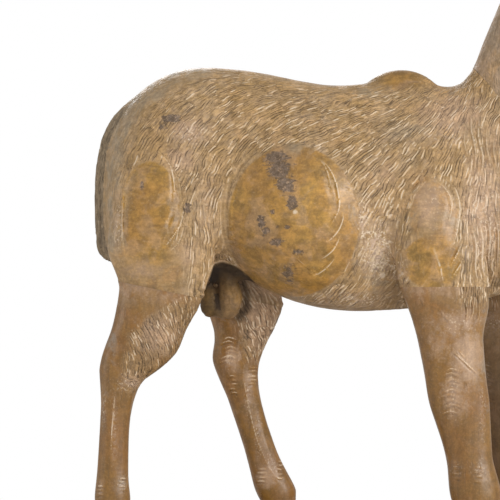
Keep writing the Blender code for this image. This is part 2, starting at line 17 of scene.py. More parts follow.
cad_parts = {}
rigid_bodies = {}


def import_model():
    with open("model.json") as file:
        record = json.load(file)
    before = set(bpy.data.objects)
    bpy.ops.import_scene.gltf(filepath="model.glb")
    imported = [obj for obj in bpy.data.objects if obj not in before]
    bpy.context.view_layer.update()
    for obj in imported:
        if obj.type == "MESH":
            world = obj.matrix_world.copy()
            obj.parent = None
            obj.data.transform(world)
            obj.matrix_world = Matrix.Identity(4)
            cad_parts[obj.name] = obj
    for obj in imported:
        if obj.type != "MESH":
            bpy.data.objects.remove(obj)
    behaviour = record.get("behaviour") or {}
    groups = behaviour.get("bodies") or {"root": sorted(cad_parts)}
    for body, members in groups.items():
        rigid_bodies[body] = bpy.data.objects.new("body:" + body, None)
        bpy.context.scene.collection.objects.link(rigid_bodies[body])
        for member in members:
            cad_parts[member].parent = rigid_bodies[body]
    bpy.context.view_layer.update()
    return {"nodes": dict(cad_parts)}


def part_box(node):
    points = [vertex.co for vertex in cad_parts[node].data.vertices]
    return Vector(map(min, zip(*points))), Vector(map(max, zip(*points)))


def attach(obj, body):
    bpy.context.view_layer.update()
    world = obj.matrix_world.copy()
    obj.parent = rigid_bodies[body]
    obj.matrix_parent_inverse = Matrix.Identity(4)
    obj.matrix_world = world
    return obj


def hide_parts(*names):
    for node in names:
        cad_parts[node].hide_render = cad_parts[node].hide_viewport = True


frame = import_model()
bpy.ops.object.select_all(action="DESELECT")
PLINTH_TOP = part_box("plinth")[1].z
MM = 0.001
print("nodes:", ", ".join(sorted(frame["nodes"])))

# %% [markdown]
# ## The camera
#
# The photograph looks square at the animal's right flank, from far enough away that the outline
# is hardly in perspective. A long lens three metres off gives the same view, and its place keeps
# the crop, which cuts off the head and the feet.

# %% The camera
CAMERA_PLACE = Vector((-0.070, -3.0, PLINTH_TOP + 0.305))
lens = bpy.data.cameras.new("photo_lens")
lens.sensor_width = 36.0
lens.lens = 216.0
lens.clip_end = 100.0
camera = bpy.data.objects.new("photo_camera", lens)
camera.location = CAMERA_PLACE
camera.rotation_euler = (math.radians(90.0), 0.0, 0.0)
bpy.context.scene.collection.objects.link(camera)
bpy.context.scene.camera = camera
print("camera at", tuple(round(v, 3) for v in CAMERA_PLACE))

# %% [markdown]
# ## Nodes in a few words
#
# Every finish below is a small network of shader nodes. These helpers add a node, set its
# sockets or link them, and hand back the socket that the next node needs, so that a network
# reads like a recipe.


# %% Helpers for shader nodes
def add_node(tree, kind, inputs=None, **settings):
    """Adds a node, sets its properties, and sets or links its inputs."""
    made = tree.nodes.new(kind)
    for key, value in settings.items():
        setattr(made, key, value)
    for key, value in (inputs or {}).items():
        if isinstance(value, bpy.types.NodeSocket):
            tree.links.new(value, made.inputs[key])
        else:
            made.inputs[key].default_value = value
    return made


def calc(tree, operation, first, second=0.0, clamp=False):
    inputs = {0: first, 1: second}
    return add_node(tree, "ShaderNodeMath", inputs, operation=operation, use_clamp=clamp).outputs[0]


def calc_all(tree, operation, values):
    """Takes several values through the same operation, from left to right."""
    result = values[0]
    for value in values[1:]:
        result = calc(tree, operation, result, value)
    return result


def times(tree, *values):
    return calc_all(tree, "MULTIPLY", values)


def plus(tree, *values):
    return calc_all(tree, "ADD", values)


def minus(tree, *values):
    return calc_all(tree, "SUBTRACT", values)


def vector_calc(tree, operation, *values):
    """The same for vectors. A length and a dot product come out as a plain value."""
    made = add_node(tree, "ShaderNodeVectorMath", dict(enumerate(values)), operation=operation)
    return made.outputs["Value" if operation in ("LENGTH", "DOT_PRODUCT") else "Vector"]


def ramp(tree, value, low, high, out_low=0.0, out_high=1.0):
    """Turns a value that runs from low to high into one that runs smoothly between two others."""
    inputs = {"Value": value, "From Min": low, "From Max": high}
    inputs.update({"To Min": out_low, "To Max": out_high})
    made = add_node(tree, "ShaderNodeMapRange", inputs, interpolation_type="SMOOTHSTEP")
    return made.outputs["Result"]


def colour_mix(tree, share, first, second, blend="MIX"):
    inputs = {0: share, 6: first, 7: second}
    made = add_node(tree, "ShaderNodeMix", inputs, data_type="RGBA", blend_type=blend)
    return made.outputs[2]


def attribute(tree, name):
    return add_node(tree, "ShaderNodeAttribute", attribute_name=name).outputs["Fac"]


def object_place(tree):
    return add_node(tree, "ShaderNodeTexCoord").outputs["Object"]


def noise(tree, vector, scale, detail=3.0, roughness=0.55, distortion=0.0):
    inputs = {"Vector": vector, "Scale": scale, "Detail": detail}
    inputs.update({"Roughness": roughness, "Distortion": distortion})
    return add_node(tree, "ShaderNodeTexNoise", inputs).outputs["Fac"]


# %% [markdown]
# ## Light, floor and backdrop
#
# The photograph is a plain picture on pure white, lit softly from the front and the right. One
# broad lamp gives that direction. A second, far round at the left, draws the greyish shine along
# the left edges of the rump and the legs, and a white surround does the rest.

# %% Light
AMBIENT = 0.54
WHITE = (1.0, 1.0, 1.0, 1.0)
LAMPS = {
    "key_lamp": ((1.9, -2.0, 1.2), (0.05, 0.0, 0.35), 1.5, 50.0),
    "edge_lamp": ((-2.3, -0.5, 0.9), (-0.1, 0.0, 0.35), 1.2, 9.0),
    "back_lamp": ((-0.6, 2.4, 1.8), (0.0, 0.0, 0.4), 1.2, 26.0),
}


def white_for_the_camera(tree, other_shader, kind, share=None):
    """Mixes a shader with plain white, which only the camera sees."""
    seen = add_node(tree, "ShaderNodeLightPath").outputs["Is Camera Ray"]
    seen = seen if share is None else times(tree, share, seen)
    white = add_node(tree, kind, {"Color": WHITE, "Strength": 1.0})
    inputs = {0: seen, 1: other_shader, 2: white.outputs[0]}
    return add_node(tree, "ShaderNodeMixShader", inputs).outputs[0]


def add_lamp(name, place, aim, size, power):
    lamp = bpy.data.lights.new(name, "AREA")
    lamp.size = size
    lamp.energy = power
    obj = bpy.data.objects.new(name, lamp)
    obj.location = place
    obj.rotation_euler = (Vector(aim) - Vector(place)).to_track_quat("-Z", "Y").to_euler()
    bpy.context.scene.collection.objects.link(obj)


world = bpy.data.worlds.new("white_surround")
bpy.context.scene.world = world
world.use_nodes = True
sky = world.node_tree
sky.nodes.clear()
soft = add_node(sky, "ShaderNodeBackground", {"Color": WHITE, "Strength": AMBIENT})
surround = white_for_the_camera(sky, soft.outputs[0], "ShaderNodeBackground")
add_node(sky, "ShaderNodeOutputWorld", {"Surface": surround})
for name, (place, aim, size, power) in LAMPS.items():
    add_lamp(name, place, aim, size, power)
bpy.context.scene.view_settings.view_transform = "Standard"
print("lamps:", ", ".join(LAMPS))

# %% [markdown]
# The floor is pale where the plinth stands and turns to plain white a metre away, so that no
# horizon shows. Only the camera sees that white. The light on the wood still comes from the
# floor's own pale paper.

# %% Floor
FLOOR_RADIUS = 6.0
FLOOR_TOP = -0.0005
PALE_UNTIL = 0.55
WHITE_FROM = 1.0
bpy.ops.mesh.primitive_circle_add(vertices=96, radius=FLOOR_RADIUS, fill_type="NGON")
floor = bpy.context.active_object
floor.name = "studio_floor"
floor.location.z = FLOOR_TOP
bpy.ops.object.transform_apply(location=True)
paper = bpy.data.materials.new("pale_paper")
paper.use_nodes = True
tree = paper.node_tree
shader = tree.nodes["Principled BSDF"]
shader.inputs["Base Color"].default_value = (0.80, 0.79, 0.77, 1.0)
shader.inputs["Roughness"].default_value = 0.9
flat_place = vector_calc(tree, "MULTIPLY", object_place(tree), (1.0, 1.0, 0.0))
far_out = ramp(tree, vector_calc(tree, "LENGTH", flat_place), PALE_UNTIL, WHITE_FROM)
surface = white_for_the_camera(tree, shader.outputs[0], "ShaderNodeEmission", far_out)
tree.links.new(surface, tree.nodes["Material Output"].inputs["Surface"])
floor.data.materials.append(paper)
floor.select_set(False)

# %% [markdown]
# ## The saw cuts
#
# The real figure was sawn into blocks and glued again, and each joint shows as a hair line. Every
# cut is a plane, given here by one place on it, along and above the plinth in millimetres, and by
# its slope. All that is carved is measured in the same way.

# %% The saw cuts
HALF_SAW = 0.15
GROWTH = 4.0
ON_PLANE = 0.02
CUT_MARGIN = (8.0, 3.0)
NECK_CUT = (153.0, 486.0, math.radians(-53.0))
NEAR_THIGH_CUT = (-200.0, 274.5, math.radians(-11.5))
FAR_THIGH_CUT = (-118.0, 264.0, math.radians(-11.5))
FORELEG_CUT = (77.0, 269.0, 0.0)


def read_out(items, field, width=1, kind=float):
    """Reads one field of many mesh elements at once, as an array."""
    values = np.empty(len(items) * width, kind)
    items.foreach_get(field, values)
    return values.reshape(-1, width) if width > 1 else values


def face_corners(mesh):
    """The vertex at each corner of each face, and where each face's corners start."""
    return read_out(mesh.loops, "vertex_index", kind=int), read_out(mesh.polygons, "loop_start", kind=int)


def millimetres(mesh):
    """The points of a mesh in millimetres, with heights above the plinth."""
    points = read_out(mesh.vertices, "co", 3) / MM
    points[:, 2] -= PLINTH_TOP / MM
    return points


def cut_normal(cut):
    return np.array([-math.sin(cut[2]), 0.0, math.cos(cut[2])])


def above_cut(points, cut):
    """How far each point lies above the plane of a saw cut."""
    return (points - [cut[0], 0.0, cut[1]]) @ cut_normal(cut)


# %% [markdown]
# A fine mesh rounds the edges of a cut. So a piece is first grown a little past its cut, and it is
# sawn off again on the plane when it is smooth, as a maker leaves some wood to trim. Blender's own
# extrude and bisect do this, on just the faces that the cut goes through.


# %% Growing a piece past a cut, and sawing it off
def work_on(obj):
    """Selects the object and makes it the active one, which Blender's operators ask for."""
    bpy.context.view_layer.objects.active = obj
    obj.select_set(True)


def pick_faces(obj, chosen):
    """Enters edit mode with just those faces selected whose corners are all chosen."""
    corners, starts = face_corners(obj.data)
    picked = np.logical_and.reduceat(chosen[corners], starts)
    obj.data.polygons.foreach_set("select", picked)
    bpy.context.tool_settings.mesh_select_mode = (False, False, True)
    bpy.ops.object.mode_set(mode="EDIT")
    return corners[np.repeat(picked, np.diff(starts, append=len(corners)))]


def leave_edit_mode():
    bpy.ops.mesh.select_all(action="DESELECT")
    bpy.ops.object.mode_set(mode="OBJECT")


def grow_past(obj, cut, above, side):
    """Extrudes the flat face of a saw cut, and hands back how far the face reaches."""
    points = millimetres(obj.data)
    on_cut = np.abs(above_cut(points, cut) - (HALF_SAW if above else -HALF_SAW)) < ON_PLANE
    on_cut &= points[:, 1] * side >= 0
    corners = pick_faces(obj, on_cut)
    growth = cut_normal(cut) * (-GROWTH if above else GROWTH) * MM
    bpy.ops.mesh.extrude_region_move(TRANSFORM_OT_translate={"value": growth})
    leave_edit_mode()
    low, high = points[corners].min(axis=0), points[corners].max(axis=0)
    print(f"{obj.name}: sawn face from {np.round(low, 1)} to {np.round(high, 1)}")
    return low, high


def in_reach(points, cut, reach):
    """The points near a saw cut, where it goes through this part of the piece."""
    low, high = reach
    inside = (points[:, :2] > low[:2] - CUT_MARGIN) & (points[:, :2] < high[:2] + CUT_MARGIN)
    return inside.all(axis=1) & (np.abs(above_cut(points, cut)) < 2.0 * GROWTH)


def saw_off(obj, cut, above, level, reach):
    """Cuts away again what grew past a saw cut, on a clean plane."""
    pick_faces(obj, in_reach(millimetres(obj.data), cut, reach))
    place = np.array([cut[0], 0.0, cut[1]]) + level * cut_normal(cut)
    place = place * MM + [0.0, 0.0, PLINTH_TOP]
    plane = {"plane_co": place, "plane_no": cut_normal(cut), "threshold": 1e-6}
    bpy.ops.mesh.bisect(use_fill=True, clear_inner=above, clear_outer=not above, **plane)
    bpy.ops.mesh.select_all(action="DESELECT")
    bpy.ops.mesh.select_face_by_sides(number=4, type="GREATER")
    bpy.ops.mesh.quads_convert_to_tris()
    leave_edit_mode()


# %% [markdown]
# ## A fine blank for each piece
#
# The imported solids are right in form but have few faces. Each is copied, its loose triangles are
# merged, its sharp saw cuts are creased so that they stay sharp, and two levels of subdivision
# round its faces. A voxel remesh then gives small even squares, which a carver's knife, or here
# a little arithmetic, can cut anywhere.

# %% Copying a node as a fine blank
SAME_PLACE = 0.01 * MM
SHARP_EDGE = math.radians(52.0)


def copy_node(node, name):
    """Copies a CAD node and merges its loose triangles. It stays in edit mode, all selected."""
    obj = bpy.data.objects.new(name, frame["nodes"][node].data.copy())
    bpy.context.scene.collection.objects.link(obj)
    work_on(obj)
    bpy.ops.object.mode_set(mode="EDIT")
    bpy.ops.mesh.select_mode(type="EDGE")
    bpy.ops.mesh.select_all(action="SELECT")
    bpy.ops.mesh.remove_doubles(threshold=SAME_PLACE)
    return obj


def apply_modifier(obj, kind, **settings):
    modifier = obj.modifiers.new(kind.lower(), kind)
    for key, value in settings.items():
        setattr(modifier, key, value)
    bpy.ops.object.modifier_apply(modifier=modifier.name)


def fine_blank(node, name, voxel, cuts):
    """A smooth, evenly meshed copy of a CAD node, grown past its saw cuts."""
    obj = copy_node(node, name)
    bpy.ops.mesh.select_all(action="DESELECT")
    bpy.ops.mesh.edges_select_sharp(sharpness=SHARP_EDGE)
    bpy.ops.transform.edge_crease(value=1.0)
    bpy.ops.object.mode_set(mode="OBJECT")
    reaches = [grow_past(obj, cut, above, side) for cut, above, side, _ in cuts]
    apply_modifier(obj, "SUBSURF", levels=2, render_levels=2)
    apply_modifier(obj, "REMESH", mode="VOXEL", voxel_size=voxel)
    obj.select_set(False)
    return obj, reaches


# %% [markdown]
# ## Carving by arithmetic
#
# Thousands of short cuts can't be made by hand here, so the relief is cut the way a displacement
# brush works. A carving holds the points and normals of a piece as arrays, and beside them one
# number per point for each finish, such as how much the wood is polished there. Those numbers
# become attributes that the materials read, so colour and relief always agree.

# %% The carving of one piece
FINISHES = ("hair", "cream", "polish", "gold", "rose", "ash", "tone", "stain", "worn", "grime", "horny")


def start_carving(obj):
    """Takes the piece's points, and a blank sheet for each finish."""
    mesh = obj.data
    points = millimetres(mesh)
    first, second = read_out(mesh.edges, "vertices", 2, int).T
    lengths = np.linalg.norm(points[first] - points[second], axis=1)
    carving = {"obj": obj, "points": points, "spacing": float(np.median(lengths)), "rims": []}
    carving["ends"] = np.concatenate([first, second])
    carving["others"] = np.concatenate([second, first])
    carving["count"] = np.bincount(carving["ends"], minlength=len(points))[:, None]
    for finish in (*FINISHES, "angle"):
        carving[finish] = np.zeros(len(points))
    print(f"{obj.name}: points {carving['spacing']:.2f} mm apart")
    return carving


# %% [markdown]
# Three things are done to every carving. Its form is smoothed by moving each point towards its
# neighbours, relief is pushed out or in along the normals, and a finish is laid on in soft spots,
# as a brush lays colour.


# %% Smoothing, pushing and tinting
def towards_neighbours(carving, values):
    """How far each point's value lies from the mean of its neighbours' values."""
    ends, others = carving["ends"], carving["others"]
    size = len(values)
    sums = [np.bincount(ends, column[others], size) for column in values.T]
    return np.stack(sums, axis=1) / carving["count"] - values


def even_out(carving, passes):
    """Takes off small steps. Each pass shrinks the form a little, and swells it back."""
    points = carving["points"]
    for _ in range(passes):
        for share in (0.5, -0.52):
            points = points + share * towards_neighbours(carving, points)
    carving["points"] = points


def soften(carving, where, passes):
    """Rounds the form off where the mask asks for it."""
    points = carving["points"]
    for _ in range(passes):
        points = points + 0.5 * where[:, None] * towards_neighbours(carving, points)
    carving["points"] = points


def to_metres(points):
    """The way back: metres, with heights above the ground."""
    return points * MM + [0.0, 0.0, PLINTH_TOP]


def take_normals(carving):
    """Writes the points back, and reads the smooth normals that belong to them."""
    mesh = carving["obj"].data
    mesh.vertices.foreach_set("co", to_metres(carving["points"]).ravel())
    mesh.update()
    normals = read_out(mesh.vertex_normals, "vector", 3)
    for rim, cut, _ in carving["rims"]:
        flat = normals[rim] - np.outer(normals[rim] @ cut_normal(cut), cut_normal(cut))
        normals[rim] = flat / np.linalg.norm(flat, axis=1, keepdims=True)
    carving["normals"] = normals


def push(carving, height):
    """Moves each point out along its normal by so many millimetres."""
    carving["points"] = carving["points"] + height[:, None] * carving["normals"]


def smooth_step(value, low, high):
    """Goes softly from 0 at low to 1 at high."""
    share = np.clip((value - low) / (high - low), 0.0, 1.0)
    return share * share * (3.0 - 2.0 * share)


def tint(carving, mask=1.0, **spots):
    """Adds soft spots of a finish: middle x and z, half length, half height and amount."""
    x, _, z = carving["points"].T
    for finish, rows in spots.items():
        for middle_x, middle_z, half_x, half_z, amount in rows:
            reach = ((x - middle_x) / half_x) ** 2 + ((z - middle_z) / half_z) ** 2
            carving[finish] = np.maximum(carving[finish], amount * np.exp(-reach) * mask)


# %% [markdown]
# When its form is smooth, a piece is sawn to length. From then on the points on the rim of a cut
# move only in the plane of the cut, and the body's side lies right against its neighbour, so that
# each joint closes to a hair line. What is seen of a joint is mostly dirt and light on its edge, so
# a seam can also get a soft line of tone along its rim: dark for dirt, pale for a painted highlight.


# %% Sawing a carving to length
def saw_to_length(carving, cuts, reaches):
    """Writes the points back, saws the piece off at its cuts, and starts its carving afresh."""
    take_normals(carving)
    obj = carving["obj"]
    work_on(obj)
    for (cut, above, _, level), reach in zip(cuts, reaches):
        saw_off(obj, cut, above, level, reach)
    obj.select_set(False)
    fresh = start_carving(obj)
    points = fresh["points"]
    for (cut, _, _, level), reach in zip(cuts, reaches):
        rim = (np.abs(above_cut(points, cut) - level) < ON_PLANE) & in_reach(points, cut, reach)
        fresh["rims"].append((np.flatnonzero(rim), cut, level))
    take_normals(fresh)
    fresh["before"] = points.copy()
    return fresh


def lay_rims(carving):
    """Lays the rims back onto their planes after the carving."""
    for rim, cut, level in carving["rims"]:
        shift = level - above_cut(carving["points"][rim], cut)
        carving["points"][rim] += np.outer(shift, cut_normal(cut))


def shade_seam(carving, cut, width, tone, where=1.0):
    """A soft line along a saw cut's rim: dark dirt for a negative tone, a painted highlight for a positive
    one.
    """
    away = np.abs(above_cut(carving["points"], cut))
    line = tone * np.exp(-((away / width) ** 2)) * where
    stronger = np.abs(line) > np.abs(carving["tone"])
    carving["tone"] = np.where(stronger, line, carving["tone"])


# %% [markdown]
# A line is drawn as a carver draws it, through a few places. The nearest points are pulled onto
# it first, so that even a cut narrower than the mesh runs clean. It is deepest in its middle and
# fades at both ends.

# %% Drawing single lines
FACING = 0.15
LINE_PULL = 0.9


def curve_through(stations, step=0.8):
    """Points at even steps on a smooth curve through the stations."""
    rows = np.array(stations, float)
    rows = np.vstack([2 * rows[0] - rows[1], rows, 2 * rows[-1] - rows[-2]])
    found = []
    for before, start, end, after in zip(rows, rows[1:], rows[2:], rows[3:]):
        steps = max(2, int(np.linalg.norm(end - start) / step))
        t = np.linspace(0.0, 1.0, steps, endpoint=False)[:, None]
        bend = (2 * before - 5 * start + 4 * end - after) * t**2
        twist = (3 * start - before - 3 * end + after) * t**3
        found.append(0.5 * (2 * start + (end - before) * t + bend + twist))
    return np.vstack(found + [rows[-2:-1]])


def draw_line(carving, line, side, height, width, tone, least_y=-900.0):
    """Raises or cuts one tapering line on the surface that faces the given side."""
    points, normals = carving["points"], carving["normals"]
    flat = points[:, [0, 2]]
    low, high = line.min(axis=0) - 3 * width, line.max(axis=0) + 3 * width
    inside = ((flat > low) & (flat < high)).all(axis=1)
    near = np.flatnonzero(inside & (normals[:, 1] * side > FACING) & (points[:, 1] * side > least_y))
    if not len(near):
        return
    offset = flat[near][:, None, :] - line[None, :, :]
    away = np.hypot(offset[..., 0], offset[..., 1])
    nearest = away.argmin(axis=1)
    away = away.min(axis=1)
    taper = np.sin(math.pi * np.clip(nearest / (len(line) - 1), 0.03, 0.97)) ** 0.45
    snap = away < 0.5 * carving["spacing"]
    gap = flat[near] - line[nearest]
    points[near[snap], 0] -= LINE_PULL * gap[snap, 0]
    points[near[snap], 2] -= LINE_PULL * gap[snap, 1]
    away = np.where(snap, (1.0 - LINE_PULL) * away, away)
    profile = np.clip(1.0 - away / width, 0.0, 1.0) * taper
    points[near] += height * profile[:, None] * normals[near]
    stronger = profile * abs(tone) > np.abs(carving["tone"][near])
    carving["tone"][near] = np.where(stronger, profile * tone, carving["tone"][near])
    carving["hair"][near] *= 1.0 - smooth_step(profile, 0.0, 0.4)


# %% [markdown]
# Larger marks are made up of such lines. A crescent is two of them: a dark cut, and a pale lip
# just outside it, as a gouge throws up. The folds of the skin at a joint are short strokes one
# below the other, a little uneven, since no two cuts by hand are alike. Painted shade in a hollow
# is a soft band of dark colour along a line, with nothing cut.


# %% Hollows, crescents and folds
def paint_hollow_shade(carving, line, width, amount, mask=1.0):
    """Painted shade in a soft band along a line, darkening a hollow."""
    x, _, z = carving["points"].T
    away = np.hypot(x[:, None] - line[:, 0], z[:, None] - line[:, 1]).min(axis=1)
    dirt = amount * np.exp(-((away / width) ** 2)) * mask
    carving["grime"] = np.maximum(carving["grime"], dirt)


def cut_crescent(carving, stations, depth, lip=1.0, width=1.4, gap=1.7, least_y=-900.0):
    """A dark cut with a pale lip on its outer side, on both flanks."""
    line = curve_through(stations)
    course = np.gradient(line, axis=0)
    course /= np.linalg.norm(course, axis=1, keepdims=True)
    lip_line = line + gap * np.stack([-course[:, 1], course[:, 0]], axis=1)
    for side in (-1, 1):
        draw_line(carving, lip_line, side, 0.3 * depth, width, lip, least_y)
        draw_line(carving, line, side, -depth, width, -0.72 * min(1.0, depth), least_y)


def cut_folds(carving, folds, depth=0.5, pale=1.0):
    """Stacks of short uneven wrinkles: middle, half length, how many, how far apart, and bow."""
    rng = np.random.default_rng(41)
    for middle_x, top_z, reach, count, pitch, bow in folds:
        for i in range(count):
            z = top_z - i * pitch + rng.normal(0.0, 0.10 * pitch)
            x = middle_x + rng.normal(0.0, 0.14 * reach)
            left, right = x - reach * rng.uniform(0.5, 1.0), x + reach * rng.uniform(0.6, 1.0)
            line = curve_through([(left, z - 0.5 * bow), (x, z + 0.5 * bow), (right, z - 0.3 * bow)])
            bright = pale * rng.uniform(0.6, 1.0)
            for side in (-1, 1):
                draw_line(carving, line, side, 0.4 * depth, 1.7, bright)
                draw_line(carving, line - [0.0, 0.5 * pitch], side, -depth, 1.4, -0.55)


# %% [markdown]
# The hair is thousands of short gouge cuts that follow the lie of the coat. Seeds are scattered
# over the surface, further apart along the coat than across it, and each takes one cut. Most are
# plain, some are left as pale worn ridges, and a few are deep dark pits, as on the real coat.


# %% How the coat lies
def lay_coat(carving, places, reach):
    """Blends the lie of the coat, and how often it is worn pale, between known places."""
    x, _, z = carving["points"].T
    total = np.full(len(x), 1e-9)
    angle, cream = np.zeros(len(x)), np.zeros(len(x))
    for place_x, place_z, degrees, pale in places:
        weight = np.exp(-((x - place_x) ** 2 + (z - place_z) ** 2) / (2 * reach**2)) + 1e-7
        total += weight
        angle += weight * math.radians(degrees)
        cream += weight * pale
    carving["angle"], carving["cream"] = angle / total, cream / total


def coat_directions(carving):
    """Unit vectors along and across the coat in the surface."""
    angle, normals = carving["angle"], carving["normals"]
    lie = np.stack([np.cos(angle), np.zeros_like(angle), np.sin(angle)], axis=1)
    lie -= (lie * normals).sum(axis=1, keepdims=True) * normals
    lie /= np.maximum(np.linalg.norm(lie, axis=1, keepdims=True), 1e-6)
    return lie, np.cross(normals, lie)


# %% [markdown]
# Each seed then takes its cut, and no other seed may start close beside it. The points next to the
# middle of the cut are pulled onto it, because a groove that runs between the points of a mesh
# comes out ragged.

# %% Combing hair into the surface
LEAST_HAIR = 0.3
HAIR_PULL = 0.85
WORN_CHANCE = 0.7
PIT_CHANCE = 0.045


def comb_hair(carving, length, pitch, depth, seed, curl=0.012):
    """Cuts one short tapering stroke for every seed that fits on the hairy part."""
    rng = np.random.default_rng(seed)
    points, normals = carving["points"], carving["normals"]
    lie, breadth = coat_directions(carving)
    tree = KDTree(len(points))
    for i, point in enumerate(points):
        tree.insert(point, i)
    tree.balance()
    free = carving["hair"] > LEAST_HAIR
    cut = np.zeros(len(points))
    tone = np.zeros(len(points))
    shift = np.zeros_like(points)
    closest = np.full(len(points), 9.0)
    strokes = 0
    for middle in rng.permutation(np.flatnonzero(free)):
        if not free[middle]:
            continue
        strokes += 1
        near = np.array([found[1] for found in tree.find_range(points[middle], 0.72 * length)])
        lean = rng.normal(0.0, 0.08)
        along = lie[middle] + lean * breadth[middle]
        across = breadth[middle] - lean * lie[middle]
        offset = points[near] - points[middle]
        t = offset @ along
        s = offset @ across + rng.normal(0.0, curl) * t * t
        free[near[(t / (0.86 * length)) ** 2 + (s / pitch) ** 2 < 1.0]] = False
        half = 0.5 * length * rng.uniform(0.75, 1.3)
        wide = 0.42 * pitch * rng.uniform(0.85, 1.15)
        taper = np.clip(1.0 - np.abs(t / half) ** 2.2, 0.0, 1.0)
        snap = (np.abs(s) < 0.5 * carving["spacing"]) & (taper > 0.1) & (np.abs(s) < closest[near])
        moved = near[snap]
        shift[moved] = -HAIR_PULL * s[snap, None] * across
        closest[moved] = np.abs(s[snap])
        s = np.where(snap, (1.0 - HAIR_PULL) * s, s)
        profile = np.clip(1.0 - np.abs(s) / wide, 0.0, 1.0) * taper * carving["hair"][near]
        chance = rng.random()
        if chance < WORN_CHANCE * carving["cream"][middle]:
            raised = np.maximum(cut[near], 0.4 * depth * profile)
            cut[near] = np.where(profile > 0.2, raised, cut[near])
            tone[near] = np.where(profile > np.abs(tone[near]), rng.uniform(0.6, 1.0) * profile, tone[near])
        else:
            is_pit = chance > 1.0 - PIT_CHANCE
            deep = 1.3 if is_pit else rng.uniform(0.55, 1.0)
            cut[near] = np.minimum(cut[near], -deep * depth * profile)
            dark = 1.0 if is_pit else rng.uniform(0.1, 0.45)
            tone[near] = np.where(profile > np.abs(tone[near]), -dark * profile, tone[near])
    carving["points"] = points + shift + cut[:, None] * normals
    carving["tone"] = np.where(np.abs(tone) > np.abs(carving["tone"]), tone, carving["tone"])
    print(f"{carving['obj'].name}: {strokes} strokes")


# %% [markdown]
# When the cutting is done, the squares are split into triangles. Each is split along the diagonal
# that lies deeper in a cut, so that grooves stay open from end to end. The finishes are written
# as attributes, and so are the directions along and across the coat. The piece then takes the
# place of its plain CAD node in the frame.

# %% Finishing a carving
SMOOTH_UNDER = math.radians(50.0)


def split_squares(carving):
    """Triangles of the mesh, each square split along its lower diagonal."""
    mesh = carving["obj"].data
    corners, starts = face_corners(mesh)
    sides = read_out(mesh.polygons, "loop_total", kind=int)
    squares = corners[starts[sides == 4][:, None] + np.arange(4)]
    triangles = corners[starts[sides == 3][:, None] + np.arange(3)]
    low = np.sum((carving["points"] - carving["before"]) * carving["normals"], axis=1)
    first = low[squares[:, 0]] + low[squares[:, 2]] < low[squares[:, 1]] + low[squares[:, 3]]
    one = np.where(first[:, None], squares[:, [0, 1, 2]], squares[:, [0, 1, 3]])
    two = np.where(first[:, None], squares[:, [0, 2, 3]], squares[:, [1, 2, 3]])
    return np.vstack([triangles, one, two])


def finish_carving(carving, node, material):
    """Writes points, faces and finishes, and ties the piece to the frame."""
    obj = carving["obj"]
    lay_rims(carving)
    faces = split_squares(carving)
    low, high = (np.array(corner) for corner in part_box(node))
    mesh = bpy.data.meshes.new(obj.name)
    mesh.from_pydata(np.clip(to_metres(carving["points"]), low, high), [], faces)
    for finish in FINISHES:
        sheet = mesh.attributes.new(finish, "FLOAT", "POINT")
        sheet.data.foreach_set("value", carving[finish].astype(np.float32))
    for name, vectors in zip(("along_coat", "across_coat"), coat_directions(carving)):
        sheet = mesh.attributes.new(name, "FLOAT_VECTOR", "POINT")
        sheet.data.foreach_set("vector", vectors.astype(np.float32).ravel())
    mesh.materials.append(material)
    obj.data = mesh
    work_on(obj)
    bpy.ops.object.shade_smooth_by_angle(angle=SMOOTH_UNDER)
    obj.select_set(False)
    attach(obj, "root")
    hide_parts(node)
    print(f"{obj.name}: {len(faces)} triangles")


# %% [markdown]
# ## Shared effects
#
# The finishes share three effects, each a node group, so that an effect is built only once. The
# patina is cloudy mottling, as a rubbed finish wears unevenly. Noise at several sizes gives the
# clouds, the patches, the grit and the flakes.


# %% The patina group
def new_group(name, inputs, build):
    """Makes a node group. Its nodes come from build, which hands back the outputs by name."""
    group = bpy.data.node_groups.new(name, "ShaderNodeTree")
    for label, (kind, value) in inputs.items():
        socket = group.interface.new_socket(label, in_out="INPUT", socket_type=kind)
        socket.default_value = value
    outputs = build(group, add_node(group, "NodeGroupInput").outputs)
    for label in outputs:
        group.interface.new_socket(label, in_out="OUTPUT", socket_type="NodeSocketFloat")
    add_node(group, "NodeGroupOutput", outputs)
    print(f"group {name}:", ", ".join(outputs))
    return group


def patina_nodes(tree, given):
    """Clouds, patches, small mottling, grit, fine specks and flakes, each from 0 to 1."""
    place = vector_calc(tree, "MULTIPLY", object_place(tree), given["Size"])
    apart = vector_calc(tree, "ADD", place, (3.1, 1.7, 5.3))
    grit = noise(tree, place, 430.0, 2.0, 0.6)
    return {
        "Clouds": ramp(tree, noise(tree, place, 22.0, 4.0, 0.6, 0.4), 0.34, 0.66),
        "Patches": ramp(tree, noise(tree, apart, 38.0, 5.0, 0.62, 0.6), 0.46, 0.62),
        "Mottle": ramp(tree, noise(tree, place, 95.0, 4.0, 0.65, 0.2), 0.32, 0.68),
        "Grit": grit,
        "Specks": ramp(tree, grit, 0.54, 0.70),
        "Flakes": ramp(tree, noise(tree, apart, 250.0, 4.0, 0.7, 0.5), 0.38, 0.62),
    }


PATINA = new_group("patina", {"Size": ("NodeSocketFloat", 1.0)}, patina_nodes)

# %% [markdown]
# The coat is a pattern of small strokes in swaying rows, which goes on between the cut ones. It is
# drawn in patches: inside each, the place is measured along and across the coat, so that the rows
# bend with it, and every stroke gets its own shade.

# %% The coat group
SWAY = 0.006
SWAY_SCALE = 75.0
PATCH_SCALE = 27.0
SCATTER = 60.0
ROW_SCATTER = 40.0


def white_noise(tree, dimensions, inputs):
    made = add_node(tree, "ShaderNodeTexWhiteNoise", inputs, noise_dimensions=dimensions)
    return made.outputs["Value"]


def combined(tree, x, y):
    return add_node(tree, "ShaderNodeCombineXYZ", {"X": x, "Y": y}).outputs[0]


